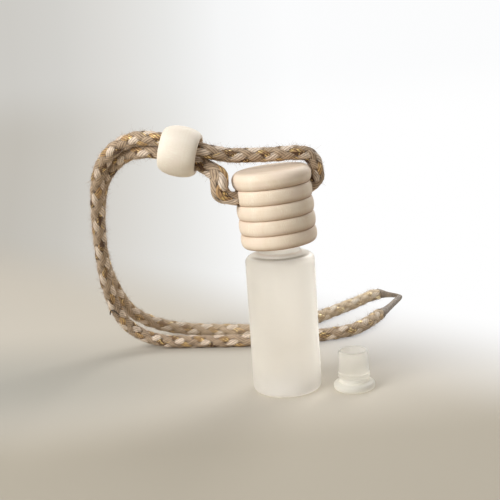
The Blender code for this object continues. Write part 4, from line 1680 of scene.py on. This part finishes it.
@dataclass
class Studio:
    """A pale table that runs out into a white background, soft lamps, and the camera."""

    camera_place: Place = (-0.009242, -0.3091, 0.11021)
    pitch: float = 11.689
    roll: float = -3.908
    lens: float = 72.0
    table_reach: float = 6.0
    backdrop_distance: float = 0.9
    backdrop_round: float = 0.35
    backdrop_height: float = 1.8
    # Painted shade: the paper darker towards the front.
    front_paper: Colour = (0.43, 0.383, 0.305)
    back_paper: Colour = (0.565, 0.515, 0.435)
    # A painted shadow of the cord's loop on the left.
    painted_shadow_paper: Colour = (0.37, 0.355, 0.31)
    paper_grain: Colour = (0.50, 0.45, 0.37)
    high_haze: Colour = (0.87, 0.89, 0.91)
    back_span: Span = (-0.05, 0.0)
    painted_shadow_centre: Span = (-0.10, 0.02)
    painted_shadow_scale: Span = (13.0, 22.0)
    high_span: Span = (0.0, 0.08)
    fade_span: Span = (0.02, 0.155)
    # The far haze's glow: painted light of the background.
    haze: tuple[tuple[float, Colour], ...] = (
        (0.0, (0.54, 0.515, 0.465)),
        (0.17, (0.585, 0.565, 0.52)),
        (0.36, (0.69, 0.67, 0.63)),
        (0.54, (0.79, 0.785, 0.76)),
        (0.73, (0.94, 0.94, 0.935)),
        (0.95, (1.0, 1.0, 1.0)),
    )

    def build(self) -> None:
        """Builds the table, the lamps, the world and the camera."""
        self.table()
        self.lamps()
        self.world()
        self.camera()
        LOG.info("studio: ready")

    def table(self) -> None:
        """A flat table that turns up into a backdrop: a profile of (y, z) carried along x."""
        bend = arc((self.backdrop_distance, self.backdrop_round), self.backdrop_round, -90, 0, 16)
        profile = np.vstack([[(-self.table_reach, 0.0)], bend, [(bend[-1, 0], self.backdrop_height)]])
        grid = np.zeros((len(profile), 2, 3))
        grid[..., 0] = (-self.table_reach, self.table_reach)
        grid[..., 1:] = profile[:, None]
        quads = np.arange(len(profile) - 1)[:, None] * 2 + np.array([[0, 1, 3, 2]])
        table = mesh_object("table", grid.reshape(-1, 3), [quads])
        table.data.materials.append(self.paper())

    def paper(self) -> bpy.types.Material:
        """Paper near the vial, darker towards the front by painted shade and with a painted shadow on
        the left, and far from it a bright glowing haze, greyer on the left: painted light.

        Only what the camera sees, also by reflection or through the glass, fades into the
        haze; the lamps fall on paper everywhere.

        Returns:
            The material.
        """
        graph = Graph("table_paper")
        x, y, z = graph.parts(graph.place())
        # Painted shade: the paper darker towards the front.
        near = graph.mix(y.smooth(*self.back_span), self.front_paper, self.back_paper)
        # Painted shadow of the cord's loop on the paper, on the left.
        across = (x - self.painted_shadow_centre[0]) * self.painted_shadow_scale[0]
        away = (y - self.painted_shadow_centre[1]) * self.painted_shadow_scale[1]
        painted_shadow = graph.length(across, away).smooth(1.6, 0.0)
        near = graph.mix(painted_shadow * 0.8, near, self.painted_shadow_paper)
        near = graph.mix(graph.noise(graph.local(), 0.05, 3.0, 0.6) * 0.08, near, self.paper_grain)
        # Painted light: the far haze glows, white on the right, greyer on the left, a little cooler
        # higher up.
        haze = graph.ramp(x / (y + 0.5).most(0.35) * 4.0 + 0.8, self.haze)
        haze = graph.mix(z.smooth(*self.high_span) * 0.22, haze, self.high_haze)
        rays = graph.seen_by("Camera").most(graph.seen_by("Glossy")).most(graph.seen_by("Transmission"))
        faded = (x * 1.1 + y).smooth(*self.fade_span)
        paper = graph.shader(Base_Color=near, Roughness=0.8, Specular_IOR_Level=0.2)
        return graph.done(graph.mixed(faded * rays, paper, graph.term("Emission", {"Color": haze})))

    def lamps(self) -> None:
        """A broad soft window on the left and a weaker one behind on the right."""
        for name, place, target, size, power, colour in (
            ("window", (-0.54, -0.36, 0.50), (0.0, 0.0, 0.05), 0.5, 6.0, (0.97, 0.985, 1.0)),
            ("back_window", (0.40, 0.55, 0.50), (0.0, 0.0, 0.04), 0.6, 4.0, (1.0, 1.0, 1.0)),
        ):
            data = bpy.data.lights.new(name, "AREA")
            data.shape = "DISK"
            data.size = size
            data.energy = power
            data.color = colour
            lamp = bpy.data.objects.new(name, data)
            lamp.location = place
            lamp.rotation_euler = (Vector(target) - Vector(place)).to_track_quat("-Z", "Y").to_euler()
            bpy.context.scene.collection.objects.link(lamp)

    def world(self) -> None:
        """An even pale sky, white where the camera sees it."""
        graph = Graph("studio", world=True)
        sky = graph.term("Background", {"Color": (0.97, 0.98, 1.0), "Strength": 0.38})
        white = graph.term("Background", {"Color": (1.0, 1.0, 1.0), "Strength": 1.0})
        bpy.context.scene.world = graph.done(graph.mixed(graph.seen_by("Camera"), sky, white))

    def camera(self) -> None:
        """The camera, pitched down and rolled a little as the picture was taken."""
        pitch, roll = math.radians(self.pitch), math.radians(self.roll)
        ahead = Vector((0.0, math.cos(pitch), -math.sin(pitch)))
        level, rise = Vector((1.0, 0.0, 0.0)), Vector((0.0, math.sin(pitch), math.cos(pitch)))
        right = math.cos(roll) * level + math.sin(roll) * rise
        up = -math.sin(roll) * level + math.cos(roll) * rise
        data = bpy.data.cameras.new("camera")
        data.lens = self.lens
        data.sensor_width = 36.0
        data.clip_start = 0.01
        data.clip_end = 50.0
        camera = bpy.data.objects.new("camera", data)
        turn = Matrix((right, up, -ahead)).transposed()
        camera.matrix_world = Matrix.Translation(self.camera_place) @ turn.to_4x4()
        bpy.context.scene.collection.objects.link(camera)
        bpy.context.scene.camera = camera
        bpy.context.scene.view_settings.view_transform = "Standard"


def main() -> None:
    """Builds every piece in order."""
    Studio().build()
    LoopedCord().build()
    GlassVial().build()
    WoodenCap().build()
    CapLining().dress()
    BarrelBead().build()
    InnerStopper().build()


if __name__ == "__main__":
    main()
